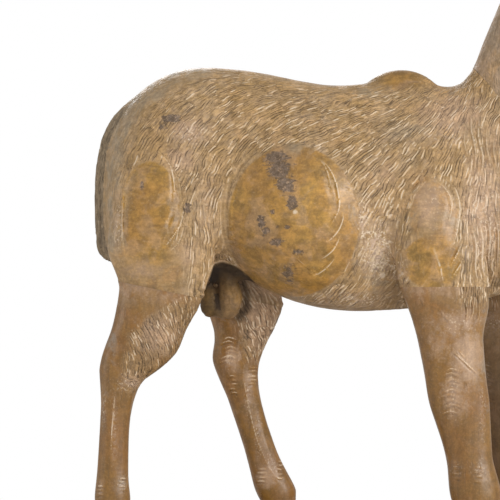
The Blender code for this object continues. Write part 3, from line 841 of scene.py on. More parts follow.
def along_direction(tree, local, name):
    """How far a place lies along a direction that the mesh carries."""
    direction = add_node(tree, "ShaderNodeAttribute", attribute_name=name).outputs["Vector"]
    return vector_calc(tree, "DOT_PRODUCT", local, direction)


def from_cell_middle(tree, value):
    return calc(tree, "ABSOLUTE", minus(tree, calc(tree, "FRACT", value), 0.5))


def coat_nodes(tree, given):
    """Rows of rounded strokes, a thin line and a shade for each, and fibres along them."""
    place = object_place(tree)
    sway = add_node(tree, "ShaderNodeTexNoise", {"Vector": place, "Scale": SWAY_SCALE, "Detail": 1.0})
    swayed = vector_calc(tree, "MULTIPLY_ADD", sway.outputs["Color"], (SWAY, SWAY, SWAY), place)
    patch = add_node(tree, "ShaderNodeTexVoronoi", {"Vector": swayed, "Scale": PATCH_SCALE}).outputs
    local = vector_calc(tree, "SUBTRACT", swayed, patch["Position"])
    height = add_node(tree, "ShaderNodeSeparateXYZ", {0: patch["Position"]}).outputs["Z"]
    u = along_direction(tree, local, "along_coat")
    u = times(tree, u, ramp(tree, height, 0.36, 0.50, 0.95, 1.20))
    v = along_direction(tree, local, "across_coat")
    v = times(tree, v, ramp(tree, height, 0.36, 0.50, 0.90, 1.30))

    chance = add_node(tree, "ShaderNodeSeparateColor", {"Color": patch["Color"]}).outputs
    stroke_v = plus(tree, calc(tree, "DIVIDE", v, given["Width"]), times(tree, chance[1], SCATTER))
    row = calc(tree, "FLOOR", stroke_v)
    row_shift = times(tree, white_noise(tree, "1D", {"W": row}), ROW_SCATTER)
    shift = plus(tree, times(tree, chance[0], SCATTER), row_shift)
    stroke_u = plus(tree, calc(tree, "DIVIDE", u, given["Length"]), shift)
    cell = combined(tree, calc(tree, "FLOOR", stroke_u), row)

    from_middle = from_cell_middle(tree, stroke_v)
    taper = ramp(tree, from_cell_middle(tree, stroke_u), 0.30, 0.50, 1.0, 0.0)
    inputs = {"Vector": combined(tree, times(tree, u, 75.0), times(tree, v, 560.0))}
    inputs.update({"Scale": 1.0, "Detail": 2.0, "Roughness": 0.6})
    fibre = add_node(tree, "ShaderNodeTexNoise", inputs, noise_dimensions="2D").outputs["Fac"]
    groove = times(tree, ramp(tree, from_middle, 0.24, 0.50), ramp(tree, fibre, 0.34, 0.58, 1.0, 0.25))
    ends = times(tree, minus(tree, 1.0, taper), 0.3)
    return {
        "Height": minus(tree, 1.0, calc(tree, "MAXIMUM", groove, ends)),
        "Line": times(tree, ramp(tree, from_middle, 0.04, 0.24, 1.0, 0.0), taper),
        "Shade": white_noise(tree, "2D", {"Vector": cell}),
        "Fibre": fibre,
    }


STROKE_SIZE = {"Length": ("NodeSocketFloat", 0.012), "Width": ("NodeSocketFloat", 0.003)}
COAT = new_group("coat", STROKE_SIZE, coat_nodes)

# %% [markdown]
# The grain is the long fibres of the wood and the short dark pores between them. Noise that is
# stretched along the fibres draws both.


# %% The grain group
def grain_nodes(tree, given):
    """Long wood fibres and the short dark pores between them."""
    place = vector_calc(tree, "MULTIPLY", object_place(tree), given["Stretch"])
    finer = vector_calc(tree, "MULTIPLY", place, (2.2, 2.0, 2.0))
    pores = ramp(tree, noise(tree, finer, 1.0, 2.0, 0.5), 0.64, 0.76)
    return {"Fibres": noise(tree, place, 1.0, 4.0, 0.6, 0.3), "Pores": pores}


GRAIN = new_group("grain", {"Stretch": ("NodeSocketVector", (12.0, 300.0, 300.0))}, grain_nodes)

# %% [markdown]
# ## The figure's wood
#
# One recipe serves the whole animal, with its own values on the coat, the neck and the legs. Dusty
# tan lies under a golden ochre, with rose and ash-grey places between, some of the grey a painted
# sheen. Strokes are shaded one by one and darker in their grooves, as painted shade, worn ridges go
# to cream, cuts to dark brown, dirt and painted shade in the hollows to a deeper brown, and the
# flaked spots to a greyish violet. Roughness and bump follow the same masks.


# %% The ground colour of the figure's wood
def overlay(tree, wood, *layers):
    """Lays colours over the wood one after the other, each by its own share."""
    for share, colour in layers:
        wood = colour_mix(tree, share, wood, colour)
    return wood


def shaded(tree, wood, value):
    """Makes the wood lighter or darker by a factor."""
    grey = add_node(tree, "ShaderNodeCombineColor", {0: value, 1: value, 2: value}).outputs[0]
    return colour_mix(tree, 1.0, wood, grey, "MULTIPLY")


def ragged(tree, finish, mottle, low=0.2, high=0.8):
    """Gives the soft mask of a finish the broken edge of worn paint."""
    uneven = times(tree, minus(tree, mottle, 0.5), 0.4)
    return ramp(tree, plus(tree, attribute(tree, finish), uneven), low, high)


def base_wood(tree, colours, patina, dusty, cloudy):
    """The cloudy ground colour: tan to ochre, with rose and ash places."""
    clouds, patches, mottle = (patina[label] for label in ("Clouds", "Patches", "Mottle"))
    tan = overlay(
        tree,
        colours["tan"],
        (clouds, colours["tan_grey"]),
        (times(tree, mottle, 0.5 * cloudy), colours["tan_gold"]),
    )
    ochre = overlay(
        tree,
        colours["ochre"],
        (times(tree, mottle, 0.8 * cloudy), colours["olive"]),
        (times(tree, clouds, 0.5), colours["amber"]),
        (times(tree, patches, dusty), colours["rose"]),
    )
    wood = overlay(
        tree,
        tan,
        (ragged(tree, "gold", patches), ochre),
        (times(tree, ragged(tree, "rose", mottle), 0.8), colours["rose"]),
        (times(tree, ragged(tree, "ash", patches), 0.85), colours["ash"]),
    )
    uneven = times(
        tree,
        ramp(tree, mottle, 0.0, 1.0, 1.0 + 0.08 * cloudy, 1.0 - 0.12 * cloudy),
        ramp(tree, patina["Flakes"], 0.0, 1.0, 1.0 + 0.06 * cloudy, 1.0 - 0.07 * cloudy),
        ramp(tree, patina["Grit"], 0.34, 0.66, 0.92, 1.07),
    )
    return shaded(tree, wood, uneven)


# %% [markdown]
# Over the ground colour come the strokes, and over the strokes the wear, the dirt and the painted
# shade. Each layer goes through a mask that the carving wrote on the mesh, so that a cut is dark in
# its depth and a rubbed ridge is pale along its top.


# %% The strokes, the wear and the painted shade on the figure's wood
def haired_wood(tree, wood, colours, coat, hair):
    """Shades the strokes of the coat, darker in their grooves as painted shade and lighter on their tops as
    a painted highlight, with pale worn ones and dark pits among them.
    """
    shade = times(
        tree,
        ramp(tree, coat["Shade"], 0.0, 1.0, 0.86, 1.14),
        # Painted shade in the grooves between the strokes, and a painted highlight on their tops.
        ramp(tree, coat["Height"], 0.0, 1.0, 0.62, 1.06),
        ramp(tree, coat["Fibre"], 0.32, 0.68, 0.88, 1.12),
    )
    least = minus(tree, 1.0, attribute(tree, "cream"))
    pale = ramp(tree, minus(tree, coat["Shade"], least), -0.02, 0.02)
    pit = ramp(tree, coat["Shade"], 0.02, 0.05, 1.0, 0.0)
    return overlay(
        tree,
        wood,
        (hair, shaded(tree, wood, shade)),
        (times(tree, pale, coat["Line"], hair, 0.75), colours["cream"]),
        (times(tree, pit, coat["Line"], hair, 0.8), colours["dark"]),
    )


def worn_wood(tree, wood, colours, patina, flaked):
    """Lays the drawn lines, the flaked spots, the rubbed places, the dirt and the painted shade over the
    wood.
    """
    tone, worn = attribute(tree, "tone"), attribute(tree, "worn")
    chips = overlay(
        tree,
        colours["stain"],
        (patina["Flakes"], colours["stain_dark"]),
        (times(tree, patina["Specks"], 0.5), colours["rose"]),
    )
    grit = plus(tree, patina["Grit"], times(tree, worn, 0.12))
    specks = times(
        tree,
        ramp(tree, grit, 0.58, 0.72),
        ramp(tree, worn, 0.0, 0.6, 0.10, 0.90),
        ramp(tree, patina["Mottle"], 0.2, 0.8, 0.25, 1.0),
    )
    dust = calc(tree, "MULTIPLY", times(tree, worn, patina["Flakes"]), 0.8, clamp=True)
    # Dirt, and painted shade in the hollows and under the belly.
    grime = calc(tree, "MULTIPLY", attribute(tree, "grime"), 1.0, clamp=True)
    return overlay(
        tree,
        shaded(tree, wood, ramp(tree, tone, -1.0, 1.0, 0.70, 1.22)),
        (ramp(tree, tone, 0.35, 0.90, 0.0, 0.85), colours["cream"]),
        (ramp(tree, tone, -0.90, -0.40, 0.85, 0.0), colours["dark"]),
        (times(tree, flaked, 0.85), chips),
        (dust, colours["dust"]),
        (specks, colours["cream"]),
        (attribute(tree, "horny"), colours["hoof"]),
        (grime, colours["grime"]),
    )


# %% [markdown]
# A material is put together in the same few steps each time: its groups, its colour, its roughness
# and its relief. The relief here is only for what is finer than the mesh, such as fibres and pores.


# %% From the recipe to a material
def paint(screen):
    """A colour as it looks on a screen, from 0 to 255, as the light that shaders use."""
    linear = [((c / 255 + 0.055) / 1.055) ** 2.4 if c > 10 else c / 255 / 12.92 for c in screen]
    return (*linear, 1.0)


def use_group(tree, group, **values):
    return add_node(tree, "ShaderNodeGroup", values, node_tree=group).outputs


def new_wood(name, patina_size, grain_stretch):
    """A new material, its tree, and the patina and the grain in it."""
    material = bpy.data.materials.new(name)
    material.use_nodes = True
    tree = material.node_tree
    patina = use_group(tree, PATINA, Size=patina_size)
    return material, tree, patina, use_group(tree, GRAIN, Stretch=grain_stretch)


def finish_wood(material, colour, rough, relief, strength, depth):
    """Links colour, roughness and relief to the shader of the material."""
    tree = material.node_tree
    inputs = {"Height": relief, "Strength": strength, "Distance": depth}
    normal = add_node(tree, "ShaderNodeBump", inputs).outputs["Normal"]
    shader = tree.nodes["Principled BSDF"]
    for label, value in (("Base Color", colour), ("Roughness", rough), ("Normal", normal)):
        tree.links.new(value, shader.inputs[label])
    print("material", material.name)
    return material


def figure_wood(name, screens, grain_stretch, stroke, patina_size=1.0, dusty=0.35, cloudy=1.0):
    """The wood of one part of the figure. A stroke is a length and a width in metres."""
    material, tree, patina, grain = new_wood(name, patina_size, grain_stretch)
    colours = {label: paint(screen) for label, screen in screens.items()}
    coat = use_group(tree, COAT, Length=stroke[0], Width=stroke[1])
    hair = attribute(tree, "hair")
    flaked = plus(
        tree,
        attribute(tree, "stain"),
        times(tree, minus(tree, grain["Fibres"], 0.5), 1.1),
        times(tree, patina["Flakes"], 0.20),
        times(tree, patina["Mottle"], -0.25),
    )
    flaked = ramp(tree, flaked, 0.28, 0.58)

    wood = base_wood(tree, colours, patina, dusty, cloudy)
    wood = shaded(tree, wood, ramp(tree, grain["Fibres"], 0.3, 0.7, 0.87, 1.10))
    wood = overlay(tree, wood, (times(tree, grain["Pores"], 0.22), colours["dark"]))
    wood = haired_wood(tree, wood, colours, coat, hair)
    wood = worn_wood(tree, wood, colours, patina, flaked)

    rough = plus(
        tree,
        ramp(tree, attribute(tree, "polish"), 0.0, 1.0, 0.56, 0.36),
        times(tree, flaked, 0.25),
        times(tree, attribute(tree, "grime"), 0.4),
    )
    rough = calc(tree, "ADD", rough, ramp(tree, patina["Mottle"], 0.0, 1.0, -0.05, 0.06), clamp=True)

    relief = plus(
        tree,
        times(tree, coat["Height"], hair),
        times(tree, coat["Fibre"], hair, 0.5),
        times(tree, grain["Fibres"], 0.12),
        times(tree, patina["Mottle"], 0.10),
        times(tree, grain["Pores"], -0.20),
        times(tree, flaked, -0.45),
    )
    return finish_wood(material, wood, rough, relief, strength=0.9, depth=0.0009)


# %% [markdown]
# The recipe is used three times. The coat is a dusty tan, the legs are a deeper gold with the
# grain running down them, and the neck is a little greyer than the body. Colours are given as they
# look on a screen, because they are easier to judge that way.

# %% The finishes of the figure
COAT_COLOURS = {
    "tan": (178, 144, 102),
    "tan_grey": (170, 142, 108),
    "tan_gold": (174, 136, 74),
    "ochre": (180, 137, 66),
    "olive": (138, 108, 52),
    "amber": (172, 124, 64),
    "rose": (190, 156, 124),
    "ash": (160, 140, 112),
    "cream": (232, 212, 184),
    "dark": (72, 56, 40),
    "stain": (124, 108, 96),
    "stain_dark": (84, 70, 58),
    "dust": (196, 168, 148),
    "hoof": (76, 58, 42),
    "grime": (50, 38, 27),
}
LEG_COLOURS = {
    **COAT_COLOURS,
    "tan": (160, 126, 84),
    "tan_grey": (146, 116, 80),
    "tan_gold": (148, 112, 58),
    "ochre": (138, 98, 38),
    "olive": (112, 82, 34),
    "amber": (144, 94, 38),
    "rose": (186, 152, 120),
    "ash": (150, 130, 108),
}
NECK_COLOURS = {
    **COAT_COLOURS,
    "tan": (174, 144, 114),
    "tan_grey": (164, 140, 114),
    "tan_gold": (170, 138, 94),
}
HIDE_WOOD = figure_wood("hide_wood", COAT_COLOURS, (26.0, 200.0, 240.0), (0.0140, 0.0030))
LEG_WEAR = {"patina_size": 1.2, "dusty": 0.16, "cloudy": 0.60}
LEG_WOOD = figure_wood("leg_wood", LEG_COLOURS, (190.0, 190.0, 30.0), (0.0078, 0.0023), **LEG_WEAR)
NECK_WOOD = figure_wood("neck_wood", NECK_COLOURS, (120.0, 160.0, 30.0), (0.0130, 0.0030))

# %% [markdown]
# ## The body
#
# The flank carries most of the work. Three ovals are left smooth and polished: a large dome on
# the belly, one on the thigh and one on the shoulder, each with a few crescents cut at its edge.
# All round them the coat is combed. The places are listed first, because the blank keeps its
# finest squares where something will be cut, and loses some where the wood stays plain.

# %% Where the body is carved
BELLY_DOME = (-27.0, 333.0, 67.0, 77.0)
THIGH_OVAL = (-168.0, 343.0, 30.0, 50.0)
SHOULDER_OVAL = (110.0, 333.0, 24.0, 42.0)
BELOW_SHOULDER = (108.0, 293.0, 31.0, 28.0)
OVALS = (BELLY_DOME, THIGH_OVAL, SHOULDER_OVAL)
DOME_CRESCENTS = [
    ([(-6, 397), (2, 386), (6, 374), (9, 360)], 0.55, 0.75),
    ([(-3, 395), (8, 381), (14, 364), (15, 345), (6, 328)], 0.7, 0.95),
    ([(19, 345), (19, 335), (15, 325), (8, 317), (1, 312)], 0.7, 0.9),
    ([(17, 321), (14, 313), (10, 306), (3, 300), (-3, 297)], 0.7, 0.9),
    ([(13, 300), (8, 293), (2, 287), (-4, 283), (-11, 280)], 0.65, 0.85),
    ([(-71, 276), (-77, 285), (-84, 294), (-90, 303)], 0.5, 0.7),
    ([(-86, 372), (-81, 384), (-73, 394), (-64, 401)], 0.25, 0.55),
    ([(-93, 350), (-91, 366), (-86, 379)], 0.2, 0.6),
    ([(-90, 300), (-96, 322), (-97, 346), (-93, 370)], 0.2, 0.62),
    ([(-86, 298), (-92, 320), (-93, 350), (-88, 374)], 0.2, 0.5),
    ([(-80, 300), (-86, 322), (-86, 346), (-81, 366)], 0.1, 0.45),
    ([(-29, 299), (-20, 291), (-12, 285)], 0.2, 0.6),
    ([(-14, 288), (-6, 281), (2, 276)], 0.2, 0.45),
]
THIGH_CRESCENTS = [
    ([(-160, 400), (-150, 387), (-146, 368), (-147, 352)], 0.7, 0.9),
    ([(-152, 390), (-142, 374), (-139, 352)], 0.6, 0.6),
    ([(-138, 345), (-140, 330), (-150, 315), (-157, 306)], 0.7, 0.9),
    ([(-136, 330), (-141, 314), (-152, 303)], 0.7, 0.8),
    ([(-145, 340), (-150, 328)], 0.9, 0.2),
    ([(-192, 301), (-194, 330), (-193, 363)], 0.3, 0.75),
]
SHOULDER_CRESCENTS = [
    ([(109, 373), (120, 364), (126, 350), (121, 327)], 0.5, 0.8),
    ([(120, 376), (130, 364), (134, 345), (129, 315), (123, 306)], 0.6, 0.95),
    ([(137, 315), (131, 302), (124, 289)], 1.2, 0.9),
    ([(137, 297), (132, 288), (126, 279)], 1.1, 0.9),
    ([(111, 299), (115, 286), (117, 272)], 0.5, 0.9),
    ([(102, 376), (92, 368), (84, 356), (80, 340)], 0.8, 0.4),
    ([(108, 380), (98, 374), (88, 364)], 0.6, 0.3),
    ([(97, 340), (92, 322), (93, 304)], 0.4, 0.15),
    ([(90, 305), (94, 290), (95, 276)], 0.4, 0.15),
]
CHEST_STROKES = [
    ([(141, 430), (139, 410), (144, 392)], 1.1, 0.7),
    ([(147, 446), (146, 425), (150, 400), (148, 380)], 1.2, 0.8),
    ([(155, 440), (153, 418), (157, 396), (155, 376)], 1.3, 0.9),
    ([(162, 432), (161, 408), (165, 386)], 1.2, 0.7),
    ([(170, 425), (168, 402), (173, 378)], 1.1, 0.7),
    ([(146, 328), (150, 308), (149, 288), (152, 270)], 1.3, 1.0),
    ([(153, 336), (157, 314), (156, 292), (160, 272)], 1.4, 1.0),
    ([(161, 340), (165, 318), (164, 296), (167, 276)], 1.4, 1.0),
    ([(169, 342), (173, 320), (173, 298), (174, 280)], 1.3, 0.9),
    ([(178, 344), (182, 322), (183, 300), (182, 284)], 1.2, 0.8),
    ([(187, 346), (191, 326), (192, 306)], 1.1, 0.7),
]
CRESCENTS = DOME_CRESCENTS + THIGH_CRESCENTS + SHOULDER_CRESCENTS + CHEST_STROKES
ARCH_RIM = [(-118, 240), (-114, 266), (-111, 280), (-106, 291), (-98, 294), (-90, 292), (-80, 287)]
ARCH_RIM += [(-71, 280), (-64, 272), (-50, 262), (-20, 250)]
FLAKES = [
    (-45, 395, 13, 8, 0.95),
    (-41, 383, 12, 11, 1.0),
    (-36, 370, 9, 10, 1.0),
    (-29, 351, 5, 8, 1.0),
    (-59, 333, 5, 8, 0.75),
    (-55, 322, 6, 7, 0.75),
    (-44, 313, 8, 4, 0.8),
    (-48, 342, 3, 3, 0.6),
    (-43, 328, 4, 3, 0.65),
    (-23, 303, 7, 4, 0.8),
    (-32, 284, 9, 10, 0.55),
    (-30, 274, 8, 5, 0.5),
    (-34, 328, 4, 3, 0.65),
    (-147, 434, 11, 7, 0.75),
    (-156, 428, 9, 6, 0.6),
    (-132, 346, 5, 8, 0.7),
    (-176, 369, 2.5, 7, 0.7),
    (56, 290, 13, 20, 0.36),
]
print(len(CRESCENTS), "crescents and long strokes on each flank")


def oval_reach(x, z, oval):
    """How far out in the oval a place lies: 0 in its middle and 1 on its rim."""
    middle_x, middle_z, half_x, half_z = oval
    return np.hypot((x - middle_x) / half_x, (z - middle_z) / half_z)


# %% [markdown]
# The body is the largest piece, so it is held to a set number of triangles. Faces are taken
# away inside the ovals and on the far side, where the surface is plainer, and kept along the saw
# cuts and the crescents. The rims of the ovals are then softened, and the back corner at the near
# thigh joint is set in a little.

# %% The blank of the body
BODY_VOXEL = 1.55 * MM
BODY_TRIANGLES = 216000
CORNER = (186, 200)
BODY_CORNER_SHIFT = 2.8
LEG_CORNER_SHIFT = 2.2


def plain_places(points):
    """From 0 where the body is carved to 1 where it stays plain."""
    x, y, z = points.T
    plain = np.where(y > 0, 0.55, 0.0)
    for oval in OVALS:
        plain = np.maximum(plain, 1.0 - smooth_step(oval_reach(x, z, oval), 0.82, 0.95))
    tree = KDTree(sum(len(curve_through(row[0])) for row in CRESCENTS))
    for row in CRESCENTS:
        for i, place in enumerate(curve_through(row[0])):
            tree.insert((place[0], 0.0, place[1]), i)
    tree.balance()
    away = np.array([tree.find((px, 0.0, pz))[2] for px, pz in zip(x, z)])
    plain *= smooth_step(away, 4.0, 8.0)
    for flake_x, flake_z, half_x, half_z, _ in FLAKES:
        reach = np.hypot((x - flake_x) / (half_x + 2.0), (z - flake_z) / (half_z + 2.0))
        plain *= smooth_step(reach, 1.1, 1.8)
    plain = np.where((np.abs(y) < 24) & (z < 290), 0.5, plain)
    for cut in (NECK_CUT, NEAR_THIGH_CUT, FAR_THIGH_CUT, FORELEG_CUT):
        plain *= smooth_step(np.abs(above_cut(points, cut)), 3.0, 5.0)
    return plain


def thin_plain_parts(obj, plain, triangles):
    """Takes faces away where the surface stays plain, and keeps them where it will be carved."""
    group = obj.vertex_groups.new(name="plain")
    steps = np.round(plain, 1)
    for level in np.unique(steps):
        group.add(np.flatnonzero(steps == level).tolist(), float(level), "REPLACE")
    now = sum(len(face.vertices) - 2 for face in obj.data.polygons)
    ratio = min(1.0, triangles / now)
    work_on(obj)
    apply_modifier(obj, "DECIMATE", ratio=ratio, vertex_group="plain", vertex_group_factor=4.0)
    obj.select_set(False)
    print(f"{obj.name}: {now} triangles thinned to {len(obj.data.polygons)}")


BODY_CUTS = [(NECK_CUT, False, 0, HALF_SAW), (NEAR_THIGH_CUT, True, -1, -HALF_SAW)]
BODY_CUTS += [(FAR_THIGH_CUT, True, 1, -HALF_SAW)]
BODY_CUTS += [(FORELEG_CUT, True, side, -HALF_SAW) for side in (-1, 1)]
body, reaches = fine_blank("body", "carved_body", BODY_VOXEL, BODY_CUTS)
thin_plain_parts(body, plain_places(millimetres(body.data)), BODY_TRIANGLES)
trunk = start_carving(body)
even_out(trunk, 14)
x, _, z = trunk["points"].T
for oval in OVALS:
    rim = np.exp(-(((oval_reach(x, z, oval) - 1.0) / 0.10) ** 2))
    soften(trunk, rim, 30)
corner = smooth_step(-x, *CORNER) * (1.0 - smooth_step(z, 276, 306))
trunk["points"][:, 0] += BODY_CORNER_SHIFT * corner
trunk = saw_to_length(trunk, BODY_CUTS, reaches)

# %% [markdown]
# The lie of the coat is known at a few places, read off the real flank. Between them it is
# blended, each place counting less the further away it is. The same places say how often a
# stroke is a worn, pale one.

# %% The lie of the coat
COAT_PLACES = [
    (-222, 400, 72, 0.10),
    (-222, 350, 88, 0.10),
    (-218, 300, 92, 0.10),
    (-205, 420, 62, 0.05),
    (-175, 455, 50, 0.06),
    (-150, 476, 34, 0.06),
    (-110, 470, 32, 0.06),
    (-60, 470, 24, 0.07),
    (0, 460, 22, 0.08),
    (50, 440, 28, 0.10),
    (-190, 380, 68, 0.06),
    (-150, 420, 55, 0.12),
    (-105, 430, 45, 0.16),
    (-70, 435, 34, 0.14),
    (-20, 425, 30, 0.12),
    (30, 415, 30, 0.16),
    (-120, 390, 66, 0.18),
    (-100, 400, 56, 0.20),
    (-110, 350, 84, 0.22),
    (-112, 310, 92, 0.30),
    (-100, 285, 80, 0.24),
    (-50, 276, 108, 0.20),
    (60, 400, 42, 0.24),
    (60, 370, 60, 0.34),
    (65, 335, 78, 0.34),
    (62, 300, 82, 0.34),
    (75, 268, 70, 0.28),
    (100, 420, 48, 0.10),
    (130, 440, 58, 0.06),
    (90, 385, 55, 0.14),
    (150, 450, 76, 0.12),
    (150, 400, 78, 0.20),
    (180, 400, 88, 0.24),
    (150, 340, 84, 0.30),
    (185, 340, 100, 0.30),
    (220, 360, 104, 0.24),
    (160, 290, 86, 0.30),
    (0, 250, 60, 0.22),
    (40, 248, 56, 0.25),
]
lay_coat(trunk, COAT_PLACES, reach=30.0)

# %% [markdown]
# The real flank is bare and rubbed shiny on the ovals, the hump, the spine, the underside and a
# band down the rump. Each is a soft mask made from places and normals. Together they say where the
# body is polished, where it is golden, and where there is hair.

# %% Smooth and hairy parts of the body
BAND_HEIGHTS = [290, 354, 403, 442, 461, 480]
BAND_EDGE = [-194, -193, -188, -167, -142, -96]
x, _, z = trunk["points"].T
normals = trunk["normals"]
flank = smooth_step(np.abs(normals[:, 1]), 0.10, 0.30)
dome = 1.0 - smooth_step(oval_reach(x, z, BELLY_DOME), 0.93, 1.02)
thigh = 1.0 - smooth_step(oval_reach(x, z, THIGH_OVAL), 0.92, 1.06)
shoulder = 1.0 - smooth_step(oval_reach(x, z, SHOULDER_OVAL), 0.92, 1.06)
below_shoulder = 1.0 - smooth_step(oval_reach(x, z, BELOW_SHOULDER), 0.85, 1.05)
low_thigh = smooth_step(-x, 122, 140) * (1.0 - smooth_step(z, 300, 322))
band_edge = np.interp(z, BAND_HEIGHTS, BAND_EDGE)
rump_band = 1.0 - smooth_step(x - band_edge, -16.0, 4.0)
hump = np.exp(-(((x - 80) / 34) ** 2)) * smooth_step(z, 458, 472)
spine = smooth_step(normals[:, 2], 0.72, 0.94) * smooth_step(z, 440, 456)
underside = smooth_step(-normals[:, 2], 0.86, 0.98)
strip = (1.0 - smooth_step(np.abs(x - 58), 16, 26)) * (1.0 - smooth_step(z, 318, 345))
ovals = np.maximum.reduce([dome, thigh, shoulder, 0.9 * below_shoulder]) * flank
trunk["polish"] = np.maximum.reduce([ovals, hump, 0.6 * rump_band, 0.5 * spine])
bare_places = [ovals, 0.65 * rump_band, low_thigh, 0.8 * spine, hump, underside, 0.45 * strip]
hairless = np.maximum.reduce(bare_places)
trunk["hair"] = np.clip(1.0 - hairless, 0.0, 1.0)
golden_flank = np.maximum.reduce([dome, thigh, 0.5 * shoulder, 0.9 * below_shoulder, 0.6 * low_thigh])
golden_top = np.maximum(0.28, np.maximum(0.6 * spine, hump))
trunk["gold"] = np.maximum(golden_flank * flank, golden_top)
trunk["grime"] = np.maximum(0.22 * hump, 0.12 * low_thigh * (1.0 - smooth_step(z, 268, 300)))
print("hairy share of the body:", round(float(trunk["hair"].mean()), 2))

# %% [markdown]
# The crescents are cut first, because hair never crosses them. They are given for the near flank
# as places along and above the plinth, and the far flank gets the same ones, so that the carving
# is finished from both sides.

# %% Crescents, long strokes and the arch of the groin
for stations, depth, lip in CRESCENTS:
    cut_crescent(trunk, stations, depth, lip, least_y=3.0)
shoulder_streak = curve_through([(97, 348), (103, 328), (109, 308), (115, 290), (119, 273)])
for side in (-1, 1):
    draw_line(trunk, shoulder_streak, side, height=0.25, width=5.0, tone=0.62, least_y=3.0)
rim_line = curve_through(ARCH_RIM[1:9])
draw_line(trunk, rim_line, -1, height=0.8, width=2.0, tone=0.7, least_y=1.0)

# %% [markdown]
# Now the hair is combed in, round everything that was drawn. The far thigh, which shows under the
# belly, has its own lie and more pale strokes.

# %% The coat of the body
FAR_THIGH_LIE = math.radians(112.0)
x, y, z = trunk["points"].T
far_thigh = (z < 300) & (y > 5) & (x < -20) & (x > -150)
trunk["angle"][far_thigh] = FAR_THIGH_LIE
trunk["cream"][far_thigh] = 0.5
comb_hair(trunk, length=13.0, pitch=3.5, depth=1.0, seed=7)

# %% [markdown]
# The tail lies against the rump like a strip of dark bark, and its grooves run down its length.
# Each point's angle round the middle of the tail says which groove it is in.

# %% The tail
TAIL_HEIGHTS = [292, 298, 307, 325, 355, 385, 410, 425, 439, 454]
TAIL_BACK = [-213, -219, -224, -225, -226, -225, -220, -213, -202, -182]
TAIL_FRONT = [-204, -205, -208, -209, -210, -210, -205, -198, -187, -172]
TAIL_HALF_WIDTH = 12.5
TAIL_RADIUS = 9.5
TAIL_GROOVE_PITCH = 4.6
x, y, z = trunk["points"].T
back = np.interp(z, TAIL_HEIGHTS, TAIL_BACK)
front = np.interp(z, TAIL_HEIGHTS, TAIL_FRONT)
on_tail = (1.0 - smooth_step(x - front, -3.0, 1.0)) * (np.abs(y) < TAIL_HALF_WIDTH)
on_tail = on_tail * smooth_step(z, 288, 292) * (1.0 - smooth_step(z, 440, 456))
round_tail = np.arctan2(y, 0.5 * (back + front) + 2.0 - x) * TAIL_RADIUS
ridge = 0.5 + 0.5 * np.cos(2 * math.pi * (round_tail + 1.2 * np.sin(z / 13.0)) / TAIL_GROOVE_PITCH)
push(trunk, -0.8 * on_tail * (1.0 - ridge))
for finish in ("gold", "polish"):
    trunk[finish] *= 1.0 - on_tail
trunk["hair"] = np.maximum(trunk["hair"] * (1.0 - on_tail), 0.9 * on_tail)
trunk["tone"] = np.where(on_tail > 0.3, 0.6 * ridge - 0.5, trunk["tone"])
trunk["ash"] = np.maximum(trunk["ash"], on_tail)
trunk["grime"] += 0.30 * on_tail

# %% [markdown]
# Age shows in three ways. The finish on the dome has flaked to a violet grey in a loose ring, the
# corners and the strip behind the shoulder are rubbed pale, and the top of the dome and the hump
# are made a little darker. The middle of the dome gets a painted highlight.

# %% Tints, flakes, rubbed places and a painted highlight on the body
ROSE_SPOTS = [
    (-129, 422, 26, 18, 0.6),
    (130, 440, 40, 26, 0.8),
    (-177, 285, 26, 12, 0.6),
    (-114, 354, 17, 50, 0.4),
    (60, 378, 26, 26, 0.5),
    (160, 350, 26, 60, 0.8),
    (-138, 393, 20, 15, 0.8),
    (104, 350, 16, 26, 0.8),
    (-130, 300, 14, 16, 0.6),
    (170, 420, 20, 30, 0.5),
]
ASH_SPOTS = [
    (85, 420, 34, 22, 0.45),
    (-19, 405, 20, 8, 0.6),
    (56, 285, 20, 30, 0.6),
    (-92, 340, 8, 44, 0.5),
    (49, 458, 20, 12, 0.6),
    (28, 344, 7, 40, 0.5),
    (-205, 300, 10, 30, 0.5),
    (-120, 470, 30, 12, 0.4),
]
GOLD_SPOTS = [
    (10, 300, 26, 28, 1.0),
    (104, 290, 28, 26, 0.9),
    (30, 412, 26, 10, 0.6),
    (-160, 300, 26, 18, 0.9),
    (-90, 458, 30, 12, 0.5),
    (0, 440, 26, 8, 0.4),
    (100, 372, 10, 6, 0.8),
    (-140, 272, 22, 10, 0.5),
]
RUBBED = [
    (56, 306, 16, 28, 1.0),
    (42, 334, 7, 22, 0.9),
    (74, 284, 9, 14, 0.6),
    (-112, 345, 12, 40, 0.2),
    (-98, 292, 14, 8, 0.4),
    (36, 256, 34, 9, 0.6),
    (112, 352, 10, 30, 0.35),
    (-128, 418, 18, 12, 0.5),
    (165, 330, 26, 60, 0.45),
    (-200, 330, 6, 26, 0.5),
    (120, 418, 24, 14, 0.3),
]
DUSTED = [(-18, 392, 40, 16, 0.16), (81, 473, 34, 12, 0.10)]
CHIPS = [(61, 280, 3.6), (43, 338, 2.0), (70, 289, 2.0), (-26, 342, 3.0), (-142, 388, 2.4), (-157, 396, 1.6)]
x, y, z = trunk["points"].T
tint(trunk, flank, rose=ROSE_SPOTS, gold=GOLD_SPOTS, stain=FLAKES, worn=RUBBED, grime=DUSTED)
tint(trunk, flank * ~far_thigh, ash=ASH_SPOTS)
tint(trunk, far_thigh, rose=[(-56, 276, 40, 30, 0.9)])
undrawn = flank * (np.abs(trunk["tone"]) < 0.05)
# The first spot lightens the middle of the dome, a painted highlight; the second is the rubbed strip behind
# the shoulder.
tint(trunk, undrawn, tone=[(0, 345, 34, 34, 0.32), (56, 298, 16, 32, 0.65)])
trunk["ash"] = np.maximum(trunk["ash"], 0.55 * rump_band)
for chip_x, chip_z, radius in CHIPS:
    chip = 1.0 - smooth_step(np.hypot(x - chip_x, z - chip_z), 0.4 * radius, 1.3 * radius)
    chip *= 0.8 * flank * (y < 0)
    trunk["tone"] = trunk["tone"] * (1.0 - chip) + chip
